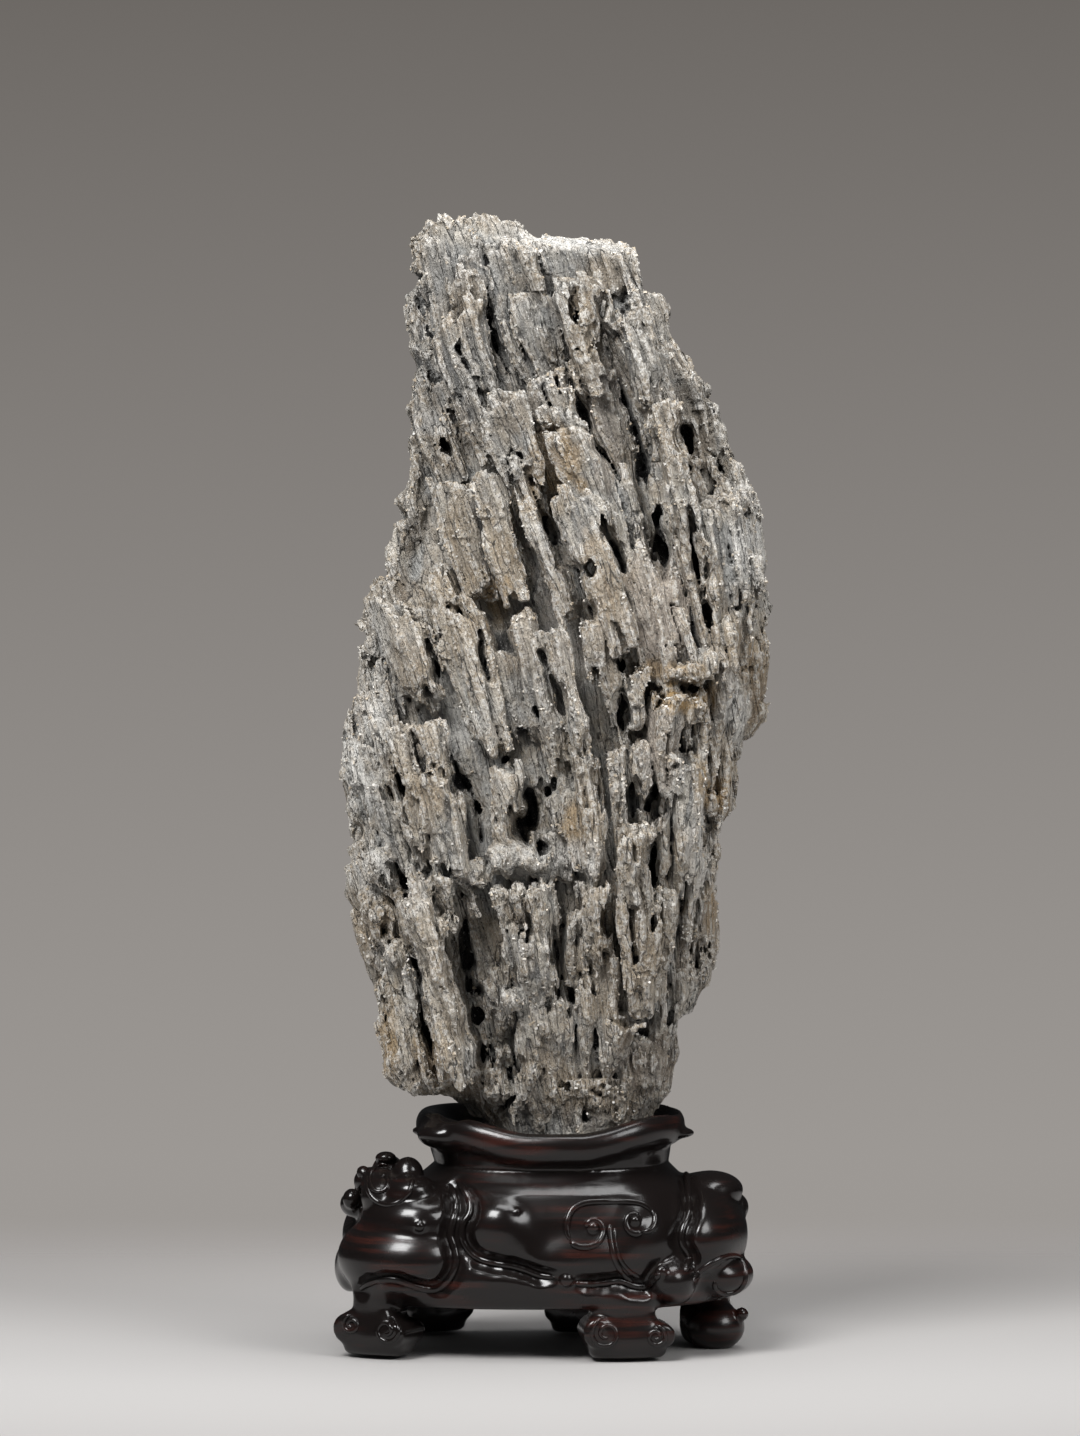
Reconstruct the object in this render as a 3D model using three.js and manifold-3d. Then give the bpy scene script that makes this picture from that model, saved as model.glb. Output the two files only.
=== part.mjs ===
// A scholar stone on its carved hardwood stand, about half a metre tall.
// The stone is one pale, splintered rock: a leaning mass sheathed in long planks of mineral, with ledges
// where the planks break off, fissures between them and a few deep hollows. Its foot sits in a socket in
// the stand, which is carved from one block: a rolled collar, a waist, a bulging body with raised beading
// and knots, and five scroll feet.
// Millimetres, +Z up. The viewer stands on the -Y side, and +X is to the viewer's right.
import * as THREE from "three";
import { mergeVertices } from "three/addons/utils/BufferGeometryUtils.js";
import Module from "manifold-3d";

const wasm = await Module();
wasm.setup();

// Driving dimensions
const BODY_BASE = 20; // height of the underside of the stand's body
const SOCKET_GAP = 0.4; // clearance between the stone's foot and its socket
const SOCKET_FLOOR = 80; // height of the socket's floor, where the stone's foot rests
const CORE_INSET = 5; // how far the core lies behind the faces of the planks
const SECTION_POWER = 2.5; // squareness of a rounded section

// The stone's envelope, from its crest to its foot: height, west edge, east edge, front, back.
const STONE_LEVELS = [
  [482, -60, 33, -30, 26],
  [450, -62, 42, -35, 32],
  [420, -61, 58, -40, 38],
  [385, -61, 73, -44, 43],
  [350, -70, 88, -49, 48],
  [320, -80, 90, -53, 52],
  [280, -86, 90, -56, 54],
  [250, -89, 78, -57, 54],
  [215, -88, 72, -56, 52],
  [185, -86, 71, -53, 48],
  [160, -74, 64, -50, 44],
  [135, -62, 52, -45, 38],
  [115, -46, 49, -39, 34],
  [100, -34, 43, -33, 28],
  [90, -29, 37, -29, 24],
  [SOCKET_FLOOR, -27, 34, -27, 22],
];

// The crest is a broken plane: its height at the origin, and its fall to +X and towards the viewer.
const CREST = { height: 478, fallEast: 0.17, fallFront: 0.1 };

// Planks on the front, each read as: crown x, crown z, foot x, foot z, crown width, foot width,
// how far its face stands proud of the envelope.
const CREST_PLANKS = [
  [-52, 488, -52, 436, 20, 18, 3],
  [-39, 472, -35, 446, 19, 16, 5],
  [-23, 478, -14, 440, 15, 14, 6],
  [16, 473, 24, 440, 36, 22, 3],
  [-41, 464, -33, 438, 17, 15, 8],
  [8, 458, 15, 414, 19, 12, 9],
  [-8, 451, 3, 414, 15, 12, 4],
  [-42, 445, -32, 402, 23, 17, 9],
  [-61, 452, -59, 414, 11, 13, 1],
  [45, 455, 56, 420, 14, 12, 3],
  [29, 442, 43, 392, 11, 11, 13],
  [43, 394, 55, 326, 10, 9, 14],
  [43, 434, 52, 388, 9, 9, 8],
];
const UPPER_PLANKS = [
  [-56, 418, -51, 372, 16, 19, 4],
  [-5, 417, 9, 392, 24, 16, 8],
  [-21, 408, -10, 370, 19, 17, 10],
  [3, 395, 12, 358, 19, 13, 12],
  [18, 421, 31, 372, 17, 13, 7],
  [58, 426, 76, 368, 13, 14, 4],
  [19, 382, 36, 336, 13, 16, 7],
  [80, 379, 87, 318, 15, 14, 1],
  [67, 362, 72, 304, 18, 17, 9],
  [79, 352, 84, 300, 13, 14, 6],
  [-65, 372, -68, 332, 13, 15, 2],
  [-44, 373, -33, 322, 19, 16, 9],
  [-26, 375, -14, 326, 16, 14, 10],
  [-11, 370, 4, 318, 11, 10, 8],
  [10, 363, 23, 304, 21, 17, 12],
  [42, 342, 44, 288, 26, 26, 2],
];
const MIDDLE_PLANKS = [
  [-78, 332, -80, 286, 17, 16, 2],
  [-66, 320, -56, 284, 19, 16, 8],
  [-51, 332, -36, 266, 11, 11, 7],
  [-39, 322, -27, 258, 10, 11, 9],
  [-22, 304, -14, 264, 12, 10, 6],
  [-12, 316, -3, 262, 10, 9, 8],
  [0, 308, 12, 246, 12, 9, 10],
  [15, 313, 18, 288, 11, 9, 9],
  [37, 290, 36, 262, 11, 12, 5],
  [56, 286, 50, 246, 22, 14, 6],
  [77, 314, 75, 262, 12, 12, 8],
  [71, 262, 72, 232, 15, 13, 0],
  [-81, 284, -84, 240, 17, 18, 3],
  [-64, 270, -58, 214, 12, 13, 11],
  [-53, 268, -43, 205, 11, 13, 12],
  [-80, 244, -76, 200, 19, 17, 4],
  [-24, 249, -20, 212, 13, 14, 9],
  [5, 252, 9, 205, 13, 12, 5],
  [22, 256, 24, 226, 9, 9, 9],
  [38, 260, 38, 228, 8, 8, 7],
  [58, 256, 61, 200, 17, 16, 7],
];
const LOWER_PLANKS = [
  [18, 236, 17, 190, 12, 13, 9],
  [31, 224, 34, 148, 14, 19, 11],
  [-12, 220, -8, 198, 20, 24, 7],
  [-50, 207, -44, 186, 15, 14, 8],
  [-57, 191, -46, 150, 13, 11, 13],
  [-47, 164, -38, 112, 10, 13, 12],
  [-72, 168, -64, 116, 13, 15, 6],
  [-28, 160, -23, 100, 13, 13, 2],
  [-22, 198, -16, 167, 10, 9, 8],
  [-10, 198, -5, 150, 9, 12, 10],
  [-4, 146, -6, 100, 19, 19, 6],
  [10, 196, 11, 152, 13, 12, 8],
  [16, 160, 15, 100, 14, 15, 6],
  [30, 144, 28, 112, 14, 11, 9],
  [44, 143, 35, 100, 18, 14, 1],
  [52, 200, 52, 150, 16, 13, 8],
];

// Rounded lumps: x, z, width, height, how far proud.
const STONE_LUMPS = [
  [-2, 399, 12, 12, 9],
  [-87, 252, 15, 20, 1],
  [66, 294, 18, 16, 7],
  [-83, 186, 18, 26, 1],
  [-45, 184, 14, 14, 8],
];

// Hollows in the front: x, z, width, height, depth, lean of the long axis from vertical in degrees.
const HOLLOWS = [
  [-33, 478, 15, 14, 14, -20],
  [22, 430, 9, 26, 24, 8],
  [60, 384, 10, 48, 26, 16],
  [42, 356, 9, 54, 28, 17],
  [-57, 274, 14, 16, 18, 10],
  [-41, 252, 9, 34, 26, 16],
  [-23, 254, 12, 10, 22, 40],
  [17, 262, 9, 20, 18, 8],
  [-11, 232, 15, 24, 30, -4],
  [31, 236, 6, 28, 19, 6],
  [43, 222, 6, 60, 20, -8],
  [-75, 184, 8, 20, 16, 34],
  [-38, 168, 9, 42, 26, 10],
  [4, 164, 6, 42, 22, 10],
];

// Long narrow fissures: top x, top z, bottom x, bottom z, width, depth.
const FISSURES = [
  [-29, 450, -19, 408, 6, 22],
  [1, 434, 20, 388, 5, 18],
  [-2, 350, 15, 316, 5, 15],
  [60, 356, 66, 300, 4, 14],
  [-60, 316, -48, 264, 5, 16],
  [29, 304, 31, 268, 5, 14],
];

// Splintered planks that wrap the sides and the back: they share one grain direction through the rock.
const GRAIN_SLOPE = 0.2; // sideways run of the grain to +X for each millimetre down
const WRAP = { from: 76, to: 284, columns: 6, bands: 4, crest: 480, foot: 101, width: 31 };

// The stand's body without its lobes: height, west edge, east edge, front, back.
const STAND_LEVELS = [
  [96, -53, 49, -46, 42],
  [86, -54, 50, -47, 43],
  [80, -52, 49, -45, 41],
  [75, -58, 54, -49, 45],
  [70, -72, 62, -54, 49],
  [60, -85, 74, -58, 53],
  [34, -88, 76, -60, 54],
  [BODY_BASE, -84, 73, -56, 51],
];

// The rolled rim round the mouth of the stand.
const RIM = { radius: 6, frontHeight: 90.5, sideHeight: 94.5, backHeight: 93 };

// The carved lobes and knots of the stand: centre x, y, z, then half-size along x, y, z.
const LOBES = [
  [-60, -27, 46, 34, 35, 26],
  [3, -34, 46, 44, 29, 25],
  [58, -10, 50, 25, 42, 25],
  [-58, 22, 46, 35, 36, 26],
  [3, 30, 46, 44, 28, 25],
  [55, 20, 48, 27, 38, 25],
];
const KNOTS = [
  [-47, -27, 94, 12, 14, 6.5],
  [-72, -12, 77, 7, 9, 7],
  [-74, -32, 68, 9, 12, 9],
  [-61, -38, 71, 11, 12, 7],
  [-86, -4, 62, 7, 10, 6],
  [-88, -12, 36, 7, 18, 11],
  [67, -12, 69, 14, 17, 8],
  [76, 2, 60, 8, 12, 7],
  [70, -24, 34, 15, 18, 10],
  [49, -44, 34, 11, 15, 10],
];

// The feet: centre x, centre y, half-width of the foot at its widest, heading that it faces in degrees.
const FEET = [
  [-75, -36, 16, -28],
  [30, -46, 18.5, 8],
  [66, 8, 15, 84],
  [-54, 44, 15, 210],
  [12, 42, 15, 176],
];
const FOOT_DEPTH = 20;
// A foot's outline for a half-width of 1: sideways, and height in millimetres.
const FOOT_OUTLINE = [
  [-0.58, 30],
  [-0.76, 21],
  [-1, 16],
  [-0.98, 9],
  [-0.78, 3.5],
  [-0.5, 0],
  [0.5, 0],
  [0.82, 3.5],
  [1, 9],
  [0.86, 16],
  [0.6, 22],
  [0.6, 30],
];

const FACE_SIDES = 4;
const PLANK_DEPTH = 18;
const ROUGHNESS = 0.45; // unevenness of a plank's corners, as a share of its half-width
const CROWN_JAG = 4.5; // how unevenly a plank's crown is broken
const TWIST = 0.5; // most that a plank turns about its own length, in radians

// A repeatable number from 0 to 1 for each whole number.
function chance(n) {
  const s = Math.sin(n * 12.9898) * 43758.5453;
  return s - Math.floor(s);
}

const mix = (a, b, t) => a + (b - a) * t;

// The section at a height, between the two nearest levels.
function levelAt(levels, z) {
  let i = 0;
  while (i < levels.length - 2 && z < levels[i + 1][0]) i++;
  const [upper, lower] = [levels[i], levels[i + 1]];
  const t = Math.min(1, Math.max(0, (upper[0] - z) / (upper[0] - lower[0])));
  const [west, east, front, back] = [1, 2, 3, 4].map((k) => mix(upper[k], lower[k], t));
  return { centre: (west + east) / 2, half: (east - west) / 2, front, back };
}

// The envelope's point at a heading, which is 0 towards the viewer and 90 degrees towards +X.
function envelope(levels, heading, z, inset = 0) {
  const { centre, half, front, back } = levelAt(levels, z);
  const [s, c] = [Math.sin(heading), Math.cos(heading)];
  const squared = (v) => Math.sign(v) * Math.abs(v) ** (2 / SECTION_POWER);
  const depth = (c > 0 ? -front : back) - inset;
  return new THREE.Vector3(centre + (half - inset) * squared(s), -depth * squared(c), z);
}

// The heading at which the front of the stone's envelope reaches a given x.
function headingAt(x, z) {
  const { centre, half } = levelAt(STONE_LEVELS, z);
  const u = THREE.MathUtils.clamp((x - centre) / half, -0.985, 0.985);
  return Math.asin(Math.sign(u) * Math.abs(u) ** (SECTION_POWER / 2));
}

// The level direction that the stone's envelope faces at a heading.
function outwardAt(heading, z) {
  const before = envelope(STONE_LEVELS, heading - 0.03, z);
  const along = envelope(STONE_LEVELS, heading + 0.03, z).sub(before);
  return new THREE.Vector3(along.y, -along.x, 0).normalize();
}

// A point on the stone's front at x and z, and the way it faces.
function onFront(x, z) {
  const heading = headingAt(x, z);
  return { point: envelope(STONE_LEVELS, heading, z), out: outwardAt(heading, z) };
}

// A closed shape bent out of a cylinder: place(angle, ring, rim) gives each vertex, ring 0 at the top.
function bent(sides, rings, place) {
  const shape = new THREE.CylinderGeometry(1, 1, 1, sides, rings);
  const position = shape.getAttribute("position");
  for (let i = 0; i < position.count; i++) {
    const [x, y, z] = [position.getX(i), position.getY(i), position.getZ(i)];
    const ring = Math.round((0.5 - y) * rings);
    const p = place(Math.atan2(x, z), ring, Math.hypot(x, z) > 0.5);
    position.setXYZ(i, p.x, p.y, p.z);
  }
  return shape;
}

// A solid for joining and cutting, made from a closed three.js geometry.
function solid(geometry) {
  const bare = geometry.clone();
  bare.deleteAttribute("normal");
  bare.deleteAttribute("uv");
  const merged = mergeVertices(bare, 1e-3);
  const triVerts = new Uint32Array(merged.index.array);
  const vertProperties = merged.getAttribute("position").array;
  return new wasm.Manifold(new wasm.Mesh({ numProp: 3, vertProperties, triVerts }));
}

// One plank from its crown to its foot, with its outer face on the line between them.
function plank(crown, foot, out, widths, seed) {
  const along = foot.clone().sub(crown);
  const axis = along.clone().normalize();
  const face = out.clone().addScaledVector(axis, -out.dot(axis)).normalize();
  const across = new THREE.Vector3().crossVectors(face, axis);
  const centre = crown.clone().addScaledVector(face, -PLANK_DEPTH / 2);
  const twist = TWIST * (chance(seed * 3 + 1) - 0.5);
  const shape = bent(FACE_SIDES, 1, (angle, end, rim) => {
    const corner = (Math.round((angle * FACE_SIDES) / (2 * Math.PI)) + FACE_SIDES) % FACE_SIDES;
    const rough = chance(seed * 7 + corner + end * 31) - 0.5;
    const half = (widths[end] / 2) * (1 + ROUGHNESS * rough) * 1.3;
    const turned = angle + Math.PI / FACE_SIDES + twist;
    const point = centre.clone().addScaledVector(along, end);
    if (!rim) return point;
    return point
      .addScaledVector(axis, 2 * rough * CROWN_JAG * (1 - end))
      .addScaledVector(across, half * Math.sin(turned))
      .addScaledVector(face, (PLANK_DEPTH / 2) * Math.cos(turned) * (1.42 + 0.3 * rough));
  });
  return solid(shape);
}

function frontPlank([crownX, crownZ, footX, footZ, crownWidth, footWidth, proud], seed) {
  const [top, bottom] = [onFront(crownX, crownZ), onFront(footX, footZ)];
  const crown = top.point.addScaledVector(top.out, proud);
  const foot = bottom.point.addScaledVector(bottom.out, proud);
  const out = top.out.clone().add(bottom.out).normalize();
  return plank(crown, foot, out, [crownWidth, footWidth], seed);
}

// The planks of the sides and back, in leaning columns of staggered length.
function wrapPlanks() {
  const made = [];
  const pitch = (WRAP.crest - WRAP.foot) / WRAP.bands;
  for (let column = 0; column < WRAP.columns; column++) {
    const heading = mix(WRAP.from, WRAP.to, column / (WRAP.columns - 1)) * (Math.PI / 180);
    for (let band = 0; band < WRAP.bands; band++) {
      const seed = 400 + column * WRAP.bands + band;
      const stagger = 0.6 * (chance(seed) - 0.5) + (column % 2) * 0.4;
      const crownZ = Math.min(WRAP.crest, WRAP.crest - (band + stagger) * pitch);
      const footZ = Math.max(crownZ - pitch * (1.1 + 0.5 * chance(seed + 50)), WRAP.foot);
      const middle = (crownZ + footZ) / 2;
      const turn = heading + 0.2 * (chance(seed + 90) - 0.5);
      const out = outwardAt(turn, middle);
      const proud = 1 + 5 * chance(seed + 130);
      const run = GRAIN_SLOPE * (1 - 0.75 * Math.abs(out.x));
      const crown = envelope(STONE_LEVELS, turn, crownZ).addScaledVector(out, proud);
      const foot = envelope(STONE_LEVELS, turn, footZ).addScaledVector(out, proud);
      crown.x -= run * (crownZ - middle);
      foot.x += run * (middle - footZ);
      const width = WRAP.width * (0.75 + 0.5 * chance(seed + 170));
      made.push(plank(crown, foot, out, [width, width * 0.9], seed));
    }
  }
  return made;
}

// The rock behind the planks, from the broken crest to the foot that fills the socket.
function core() {
  const count = STONE_LEVELS.length - 1;
  return solid(
    bent(12, count, (angle, ring, rim) => {
      const z = STONE_LEVELS[ring][0];
      const uneven = ring > count - 3 ? 0 : 5 * (chance(ring * 13 + Math.round(angle * 7)) - 0.5);
      const point = envelope(STONE_LEVELS, angle, z, CORE_INSET + uneven);
      if (!rim) point.set(levelAt(STONE_LEVELS, z).centre, 0, z);
      if (ring === 0) point.z = CREST.height - CREST.fallEast * point.x + CREST.fallFront * point.y;
      return point;
    }),
  );
}

// A faceted shape stretched to half-sizes, leaned in its own face and set at a point on the stone.
function gem(shape, x, z, halfSizes, lean, proud) {
  const { point, out } = onFront(x, z);
  const turn = new THREE.Quaternion().setFromUnitVectors(new THREE.Vector3(0, -1, 0), out);
  const tilt = new THREE.Quaternion().setFromAxisAngle(new THREE.Vector3(0, 1, 0), -lean);
  const size = new THREE.Vector3(...halfSizes);
  point.addScaledVector(out, proud);
  return solid(shape.clone().applyMatrix4(new THREE.Matrix4().compose(point, turn.multiply(tilt), size)));
}

const nugget = new THREE.IcosahedronGeometry(1, 0);
const splinter = new THREE.OctahedronGeometry(1, 0);

const lump = ([x, z, width, height, proud]) =>
  gem(nugget, x, z, [width / 2, 8, height / 2], 0, proud - 8);

const hollow = ([x, z, width, height, depth, lean]) =>
  gem(nugget, x, z, [width / 2, depth, height / 2], THREE.MathUtils.degToRad(lean), 2);

function fissure([topX, topZ, bottomX, bottomZ, width, depth]) {
  const lean = Math.atan2(bottomX - topX, topZ - bottomZ);
  const half = Math.hypot(bottomX - topX, topZ - bottomZ) / 2;
  const [x, z] = [(topX + bottomX) / 2, (topZ + bottomZ) / 2];
  return gem(splinter, x, z, [width * 0.8, depth, half * 1.2], lean, 4);
}

const unite = (solids) => solids.reduce((a, b) => a.add(b));

// The largest of the bodies that a cut leaves.
function largest(made) {
  return made.decompose().sort((a, b) => b.volume() - a.volume())[0];
}

function stoneSolid() {
  const planks = [...CREST_PLANKS, ...UPPER_PLANKS, ...MIDDLE_PLANKS, ...LOWER_PLANKS];
  const raised = [core(), ...planks.map(frontPlank), ...wrapPlanks(), ...STONE_LUMPS.map(lump)];
  const cuts = [...HOLLOWS.map(hollow), ...FISSURES.map(fissure)];
  return largest(unite(raised).subtract(unite(cuts)));
}

// The stand's turned-over rim, lower at the front than at the sides.
function rim() {
  const roll = new THREE.TorusGeometry(1, 0.25, 6, 20);
  const position = roll.getAttribute("position");
  for (let i = 0; i < position.count; i++) {
    const [x, y, up] = [position.getX(i), position.getY(i), position.getZ(i) / 0.25];
    const heading = Math.atan2(x, -y);
    const out = (Math.hypot(x, y) - 1) / 0.25;
    const side = Math.sin(heading) ** 2;
    const height = mix(y < 0 ? RIM.frontHeight : RIM.backHeight, RIM.sideHeight, side);
    const p = envelope(STAND_LEVELS, heading, 86, -out * RIM.radius);
    position.setXYZ(i, p.x, p.y, height + up * RIM.radius);
  }
  return solid(roll);
}

function standBody() {
  const count = STAND_LEVELS.length - 1;
  return solid(
    bent(20, count, (angle, ring, rim) => {
      const z = STAND_LEVELS[ring][0];
      const point = envelope(STAND_LEVELS, angle, z);
      return rim ? point : point.set(levelAt(STAND_LEVELS, z).centre, 0, z);
    }),
  );
}

function bulge(shape, [x, y, z, ...halfSizes]) {
  return solid(shape.clone().scale(...halfSizes).translate(x, y, z));
}

// A scroll foot: its outline spreads to a curl on each side and stands on a flat sole.
function foot([x, y, halfWidth, heading]) {
  const outline = new THREE.Shape(FOOT_OUTLINE.map(([u, z]) => new THREE.Vector2(u * halfWidth, z)));
  const block = new THREE.ExtrudeGeometry(outline, { depth: FOOT_DEPTH, bevelEnabled: false });
  block.translate(0, 0, -FOOT_DEPTH / 2);
  const curl = (side, radius, height) =>
    new THREE.CylinderGeometry(radius, radius, FOOT_DEPTH + 3, 7)
      .rotateX(Math.PI / 2)
      .translate(side * (halfWidth - radius + 0.5), height, 0);
  const placed = (shape) =>
    solid(shape.rotateX(Math.PI / 2).rotateZ(THREE.MathUtils.degToRad(heading)).translate(x, y, 0));
  return unite([block, curl(-1, 5.2, 14), curl(1, 4.2, 12)].map(placed));
}

// The socket: the stone's foot with clearance, opening out above it to clear the planks.
function socket() {
  const steps = [
    [105, 10],
    [92, 10],
    [90, SOCKET_GAP - CORE_INSET],
    [SOCKET_FLOOR - SOCKET_GAP, SOCKET_GAP - CORE_INSET],
  ];
  return solid(
    bent(12, steps.length - 1, (angle, ring, rim) => {
      const [z, margin] = steps[ring];
      const point = envelope(STONE_LEVELS, angle, z, -margin);
      return rim ? point : point.set(levelAt(STONE_LEVELS, z).centre, 0, z);
    }),
  );
}

function standSolid() {
  const round = new THREE.SphereGeometry(1, 10, 6).rotateX(Math.PI / 2);
  const bud = new THREE.SphereGeometry(1, 6, 4).rotateX(Math.PI / 2);
  const lobes = LOBES.map((lobe) => bulge(round, lobe));
  const knots = KNOTS.map((knot) => bulge(bud, knot));
  const joined = unite([standBody(), rim(), ...lobes, ...knots, ...FEET.map(foot)]);
  return largest(joined.subtract(socket()));
}

function nodeOf(name, made, material) {
  const { vertProperties, triVerts } = made.getMesh();
  const geometry = new THREE.BufferGeometry();
  geometry.setAttribute("position", new THREE.BufferAttribute(new Float32Array(vertProperties), 3));
  geometry.setIndex(new THREE.BufferAttribute(new Uint32Array(triVerts), 1));
  geometry.computeVertexNormals();
  const mesh = new THREE.Mesh(geometry, material);
  mesh.name = name;
  return mesh;
}

const mineral = new THREE.MeshStandardMaterial({ color: 0xa39a8c, roughness: 0.85, metalness: 0 });
const hardwood = new THREE.MeshStandardMaterial({ color: 0x1d1210, roughness: 0.25, metalness: 0 });

const part = new THREE.Group();
part.add(nodeOf("stone", stoneSolid(), mineral), nodeOf("stand", standSolid(), hardwood));

// The origin is under the middle of the whole object, at the level of the soles.
const bounds = new THREE.Box3().setFromObject(part);
const middle = bounds.getCenter(new THREE.Vector3());
part.position.set(-middle.x, -middle.y, -bounds.min.z);
export default part;
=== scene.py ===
"""Looks for a scholar stone on its carved hardwood stand.

The stone and the stand are each sculpted as a field of signed distances on a grid, from the same named
planks, hollows, lobes and knots as the solids that they replace, then skinned, thinned and painted with
node materials. Sculpting tables are in millimetres; meshes are written in metres.
"""

import logging
import math
from dataclasses import dataclass, field
from enum import Enum
from typing import Callable, Iterable, Sequence

import bpy
import numpy as np
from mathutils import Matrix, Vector


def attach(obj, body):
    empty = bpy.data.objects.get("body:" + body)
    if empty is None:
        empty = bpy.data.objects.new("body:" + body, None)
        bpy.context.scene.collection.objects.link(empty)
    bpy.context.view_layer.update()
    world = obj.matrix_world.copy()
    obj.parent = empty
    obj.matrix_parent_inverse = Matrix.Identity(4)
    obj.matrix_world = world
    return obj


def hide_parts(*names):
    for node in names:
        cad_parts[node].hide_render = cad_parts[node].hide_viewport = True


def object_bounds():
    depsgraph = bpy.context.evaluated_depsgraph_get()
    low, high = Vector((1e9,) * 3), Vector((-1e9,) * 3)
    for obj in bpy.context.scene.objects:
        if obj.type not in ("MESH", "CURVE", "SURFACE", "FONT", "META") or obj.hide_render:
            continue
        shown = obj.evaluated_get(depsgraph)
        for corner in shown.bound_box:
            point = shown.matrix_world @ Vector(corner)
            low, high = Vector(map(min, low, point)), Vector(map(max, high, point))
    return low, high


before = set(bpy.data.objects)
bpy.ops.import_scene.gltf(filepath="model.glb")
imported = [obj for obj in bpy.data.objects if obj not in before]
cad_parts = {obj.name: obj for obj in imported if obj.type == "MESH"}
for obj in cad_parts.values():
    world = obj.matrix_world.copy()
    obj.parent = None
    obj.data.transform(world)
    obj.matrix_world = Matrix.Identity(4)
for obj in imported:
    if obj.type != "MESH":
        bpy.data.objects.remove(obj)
CAD_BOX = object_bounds()

log = logging.getLogger("scholar_stone")

MM = 0.001
# The sculpting tables' own origin, seen from the frame's origin, in millimetres.
TABLE_ORIGIN = (0.278, 3.355, 0.0)

Array = np.ndarray
Row = tuple[float, ...]

STONE_LEVELS: tuple[Row, ...] = (
    (486, -59, 31, -31, 26),
    (470, -65, 38, -33, 28),
    (450, -67, 47, -35, 32),
    (430, -65, 56, -38, 36),
    (418, -63, 66, -40, 38),
    (400, -63, 73, -42, 41),
    (386, -64, 78, -44, 43),
    (375, -68, 86, -45, 45),
    (362, -71, 91, -47, 47),
    (340, -75, 93, -51, 50),
    (330, -79, 94, -52, 51),
    (322, -86, 94, -53, 52),
    (300, -86, 95, -55, 53),
    (282, -90, 93, -56, 54),
    (268, -92, 89, -56, 54),
    (250, -95, 81, -57, 54),
    (236, -92, 78, -57, 53),
    (226, -91, 73, -56, 52),
    (193, -92, 73, -54, 49),
    (171, -87, 73, -51, 46),
    (158, -81, 69, -49, 44),
    (148, -78, 61, -47, 42),
    (130, -78, 54, -43, 38),
    (117, -76, 53, -40, 35),
    (110, -68, 52, -38, 33),
    (105, -42, 47, -35, 30),
    (90, -29, 37, -29, 24),
    (80, -27, 34, -27, 22),
)
# The rock's foot, which fills the socket, in the same form.
STONE_FOOT: tuple[Row, ...] = (
    (115, -46, 49, -39, 34),
    (100, -34, 43, -33, 28),
    (90, -29, 37, -29, 24),
    (80, -27, 34, -27, 22),
)
# The rock's outline as it is seen from the front: x and z.
STONE_OUTLINE: tuple[Row, ...] = (
    (-37, 70), (-37, 98), (-42, 103), (-44, 109), (-60, 110), (-68, 112), (-73, 119), (-75.5, 126),
    (-75.8, 137), (-79, 146), (-78.5, 155), (-82.5, 161), (-85.5, 168), (-88, 173), (-91, 181),
    (-90.5, 186), (-87.5, 190), (-90.6, 196), (-89, 203), (-90, 207), (-87, 211), (-88.5, 216), (-84, 220),
    (-84, 225), (-89, 229), (-91, 235), (-90.6, 242), (-95, 247), (-95, 254), (-91, 259), (-92.5, 264),
    (-89.7, 268), (-88.4, 276), (-83, 285), (-80.5, 289), (-84.3, 295), (-84.5, 303), (-81, 307),
    (-86.2, 312), (-85.8, 317), (-83, 320), (-85.4, 329), (-80, 331.5), (-73, 333.5), (-72, 341),
    (-74.5, 346), (-69.8, 350), (-70.6, 355), (-64.5, 359), (-68, 363), (-68.5, 367), (-65, 371),
    (-62.5, 376), (-61, 384), (-63.7, 390), (-62, 398), (-65.4, 406), (-62, 412), (-62.8, 416),
    (-58.8, 424), (-61, 428), (-64, 433), (-62, 437), (-66.5, 441), (-67.6, 446), (-66.5, 450), (-64, 455),
    (-58, 463), (-63, 467), (-61, 471), (-65.2, 476), (-63, 480), (-59, 484), (-60.2, 489), (-56, 491.5),
    (-43, 492.5), (-28, 490.5), (-10, 487), (0, 484.8), (12, 482), (23, 483.2), (29, 484), (30.5, 480),
    (36, 476.5), (34.5, 467), (38, 462), (38.3, 458), (47, 455.5), (51, 450), (50.3, 442), (51.8, 434),
    (57, 429), (65, 424.5), (67.5, 419), (68.6, 414), (65, 410.5), (70.6, 407), (71.3, 401), (75.4, 397),
    (75, 384.5), (81.5, 381), (86.5, 376.5), (89.5, 371), (91.4, 363), (91.8, 354), (90, 347), (92.3, 341),
    (90.6, 332), (93.5, 323), (93.8, 316), (90.5, 311), (94.8, 304), (93.6, 296), (93.6, 281), (92, 272),
    (85, 264), (80.4, 259), (80.2, 247), (77, 238), (75.6, 231), (69, 225), (70, 219), (72.6, 215),
    (69, 206), (67.5, 202), (71, 198), (69.5, 194), (73.3, 189), (73.6, 178), (72.4, 164), (70, 159.5),
    (63, 155), (60.8, 149), (60.6, 144.5), (53, 142), (51.8, 134), (53.8, 126), (50.8, 120), (52, 115),
    (52, 111), (49.5, 107), (45.5, 103), (43, 98), (43, 70),
)
STAND_LEVELS: tuple[Row, ...] = (
    (96, -53, 49, -46, 42),
    (86, -54, 50, -47, 43),
    (80, -52, 49, -45, 41),
    (75, -58, 54, -49, 45),
    (70, -72, 62, -54, 49),
    (60, -85, 74, -58, 53),
    (34, -88, 76, -60, 54),
    (20, -84, 73, -56, 51),
)

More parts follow.
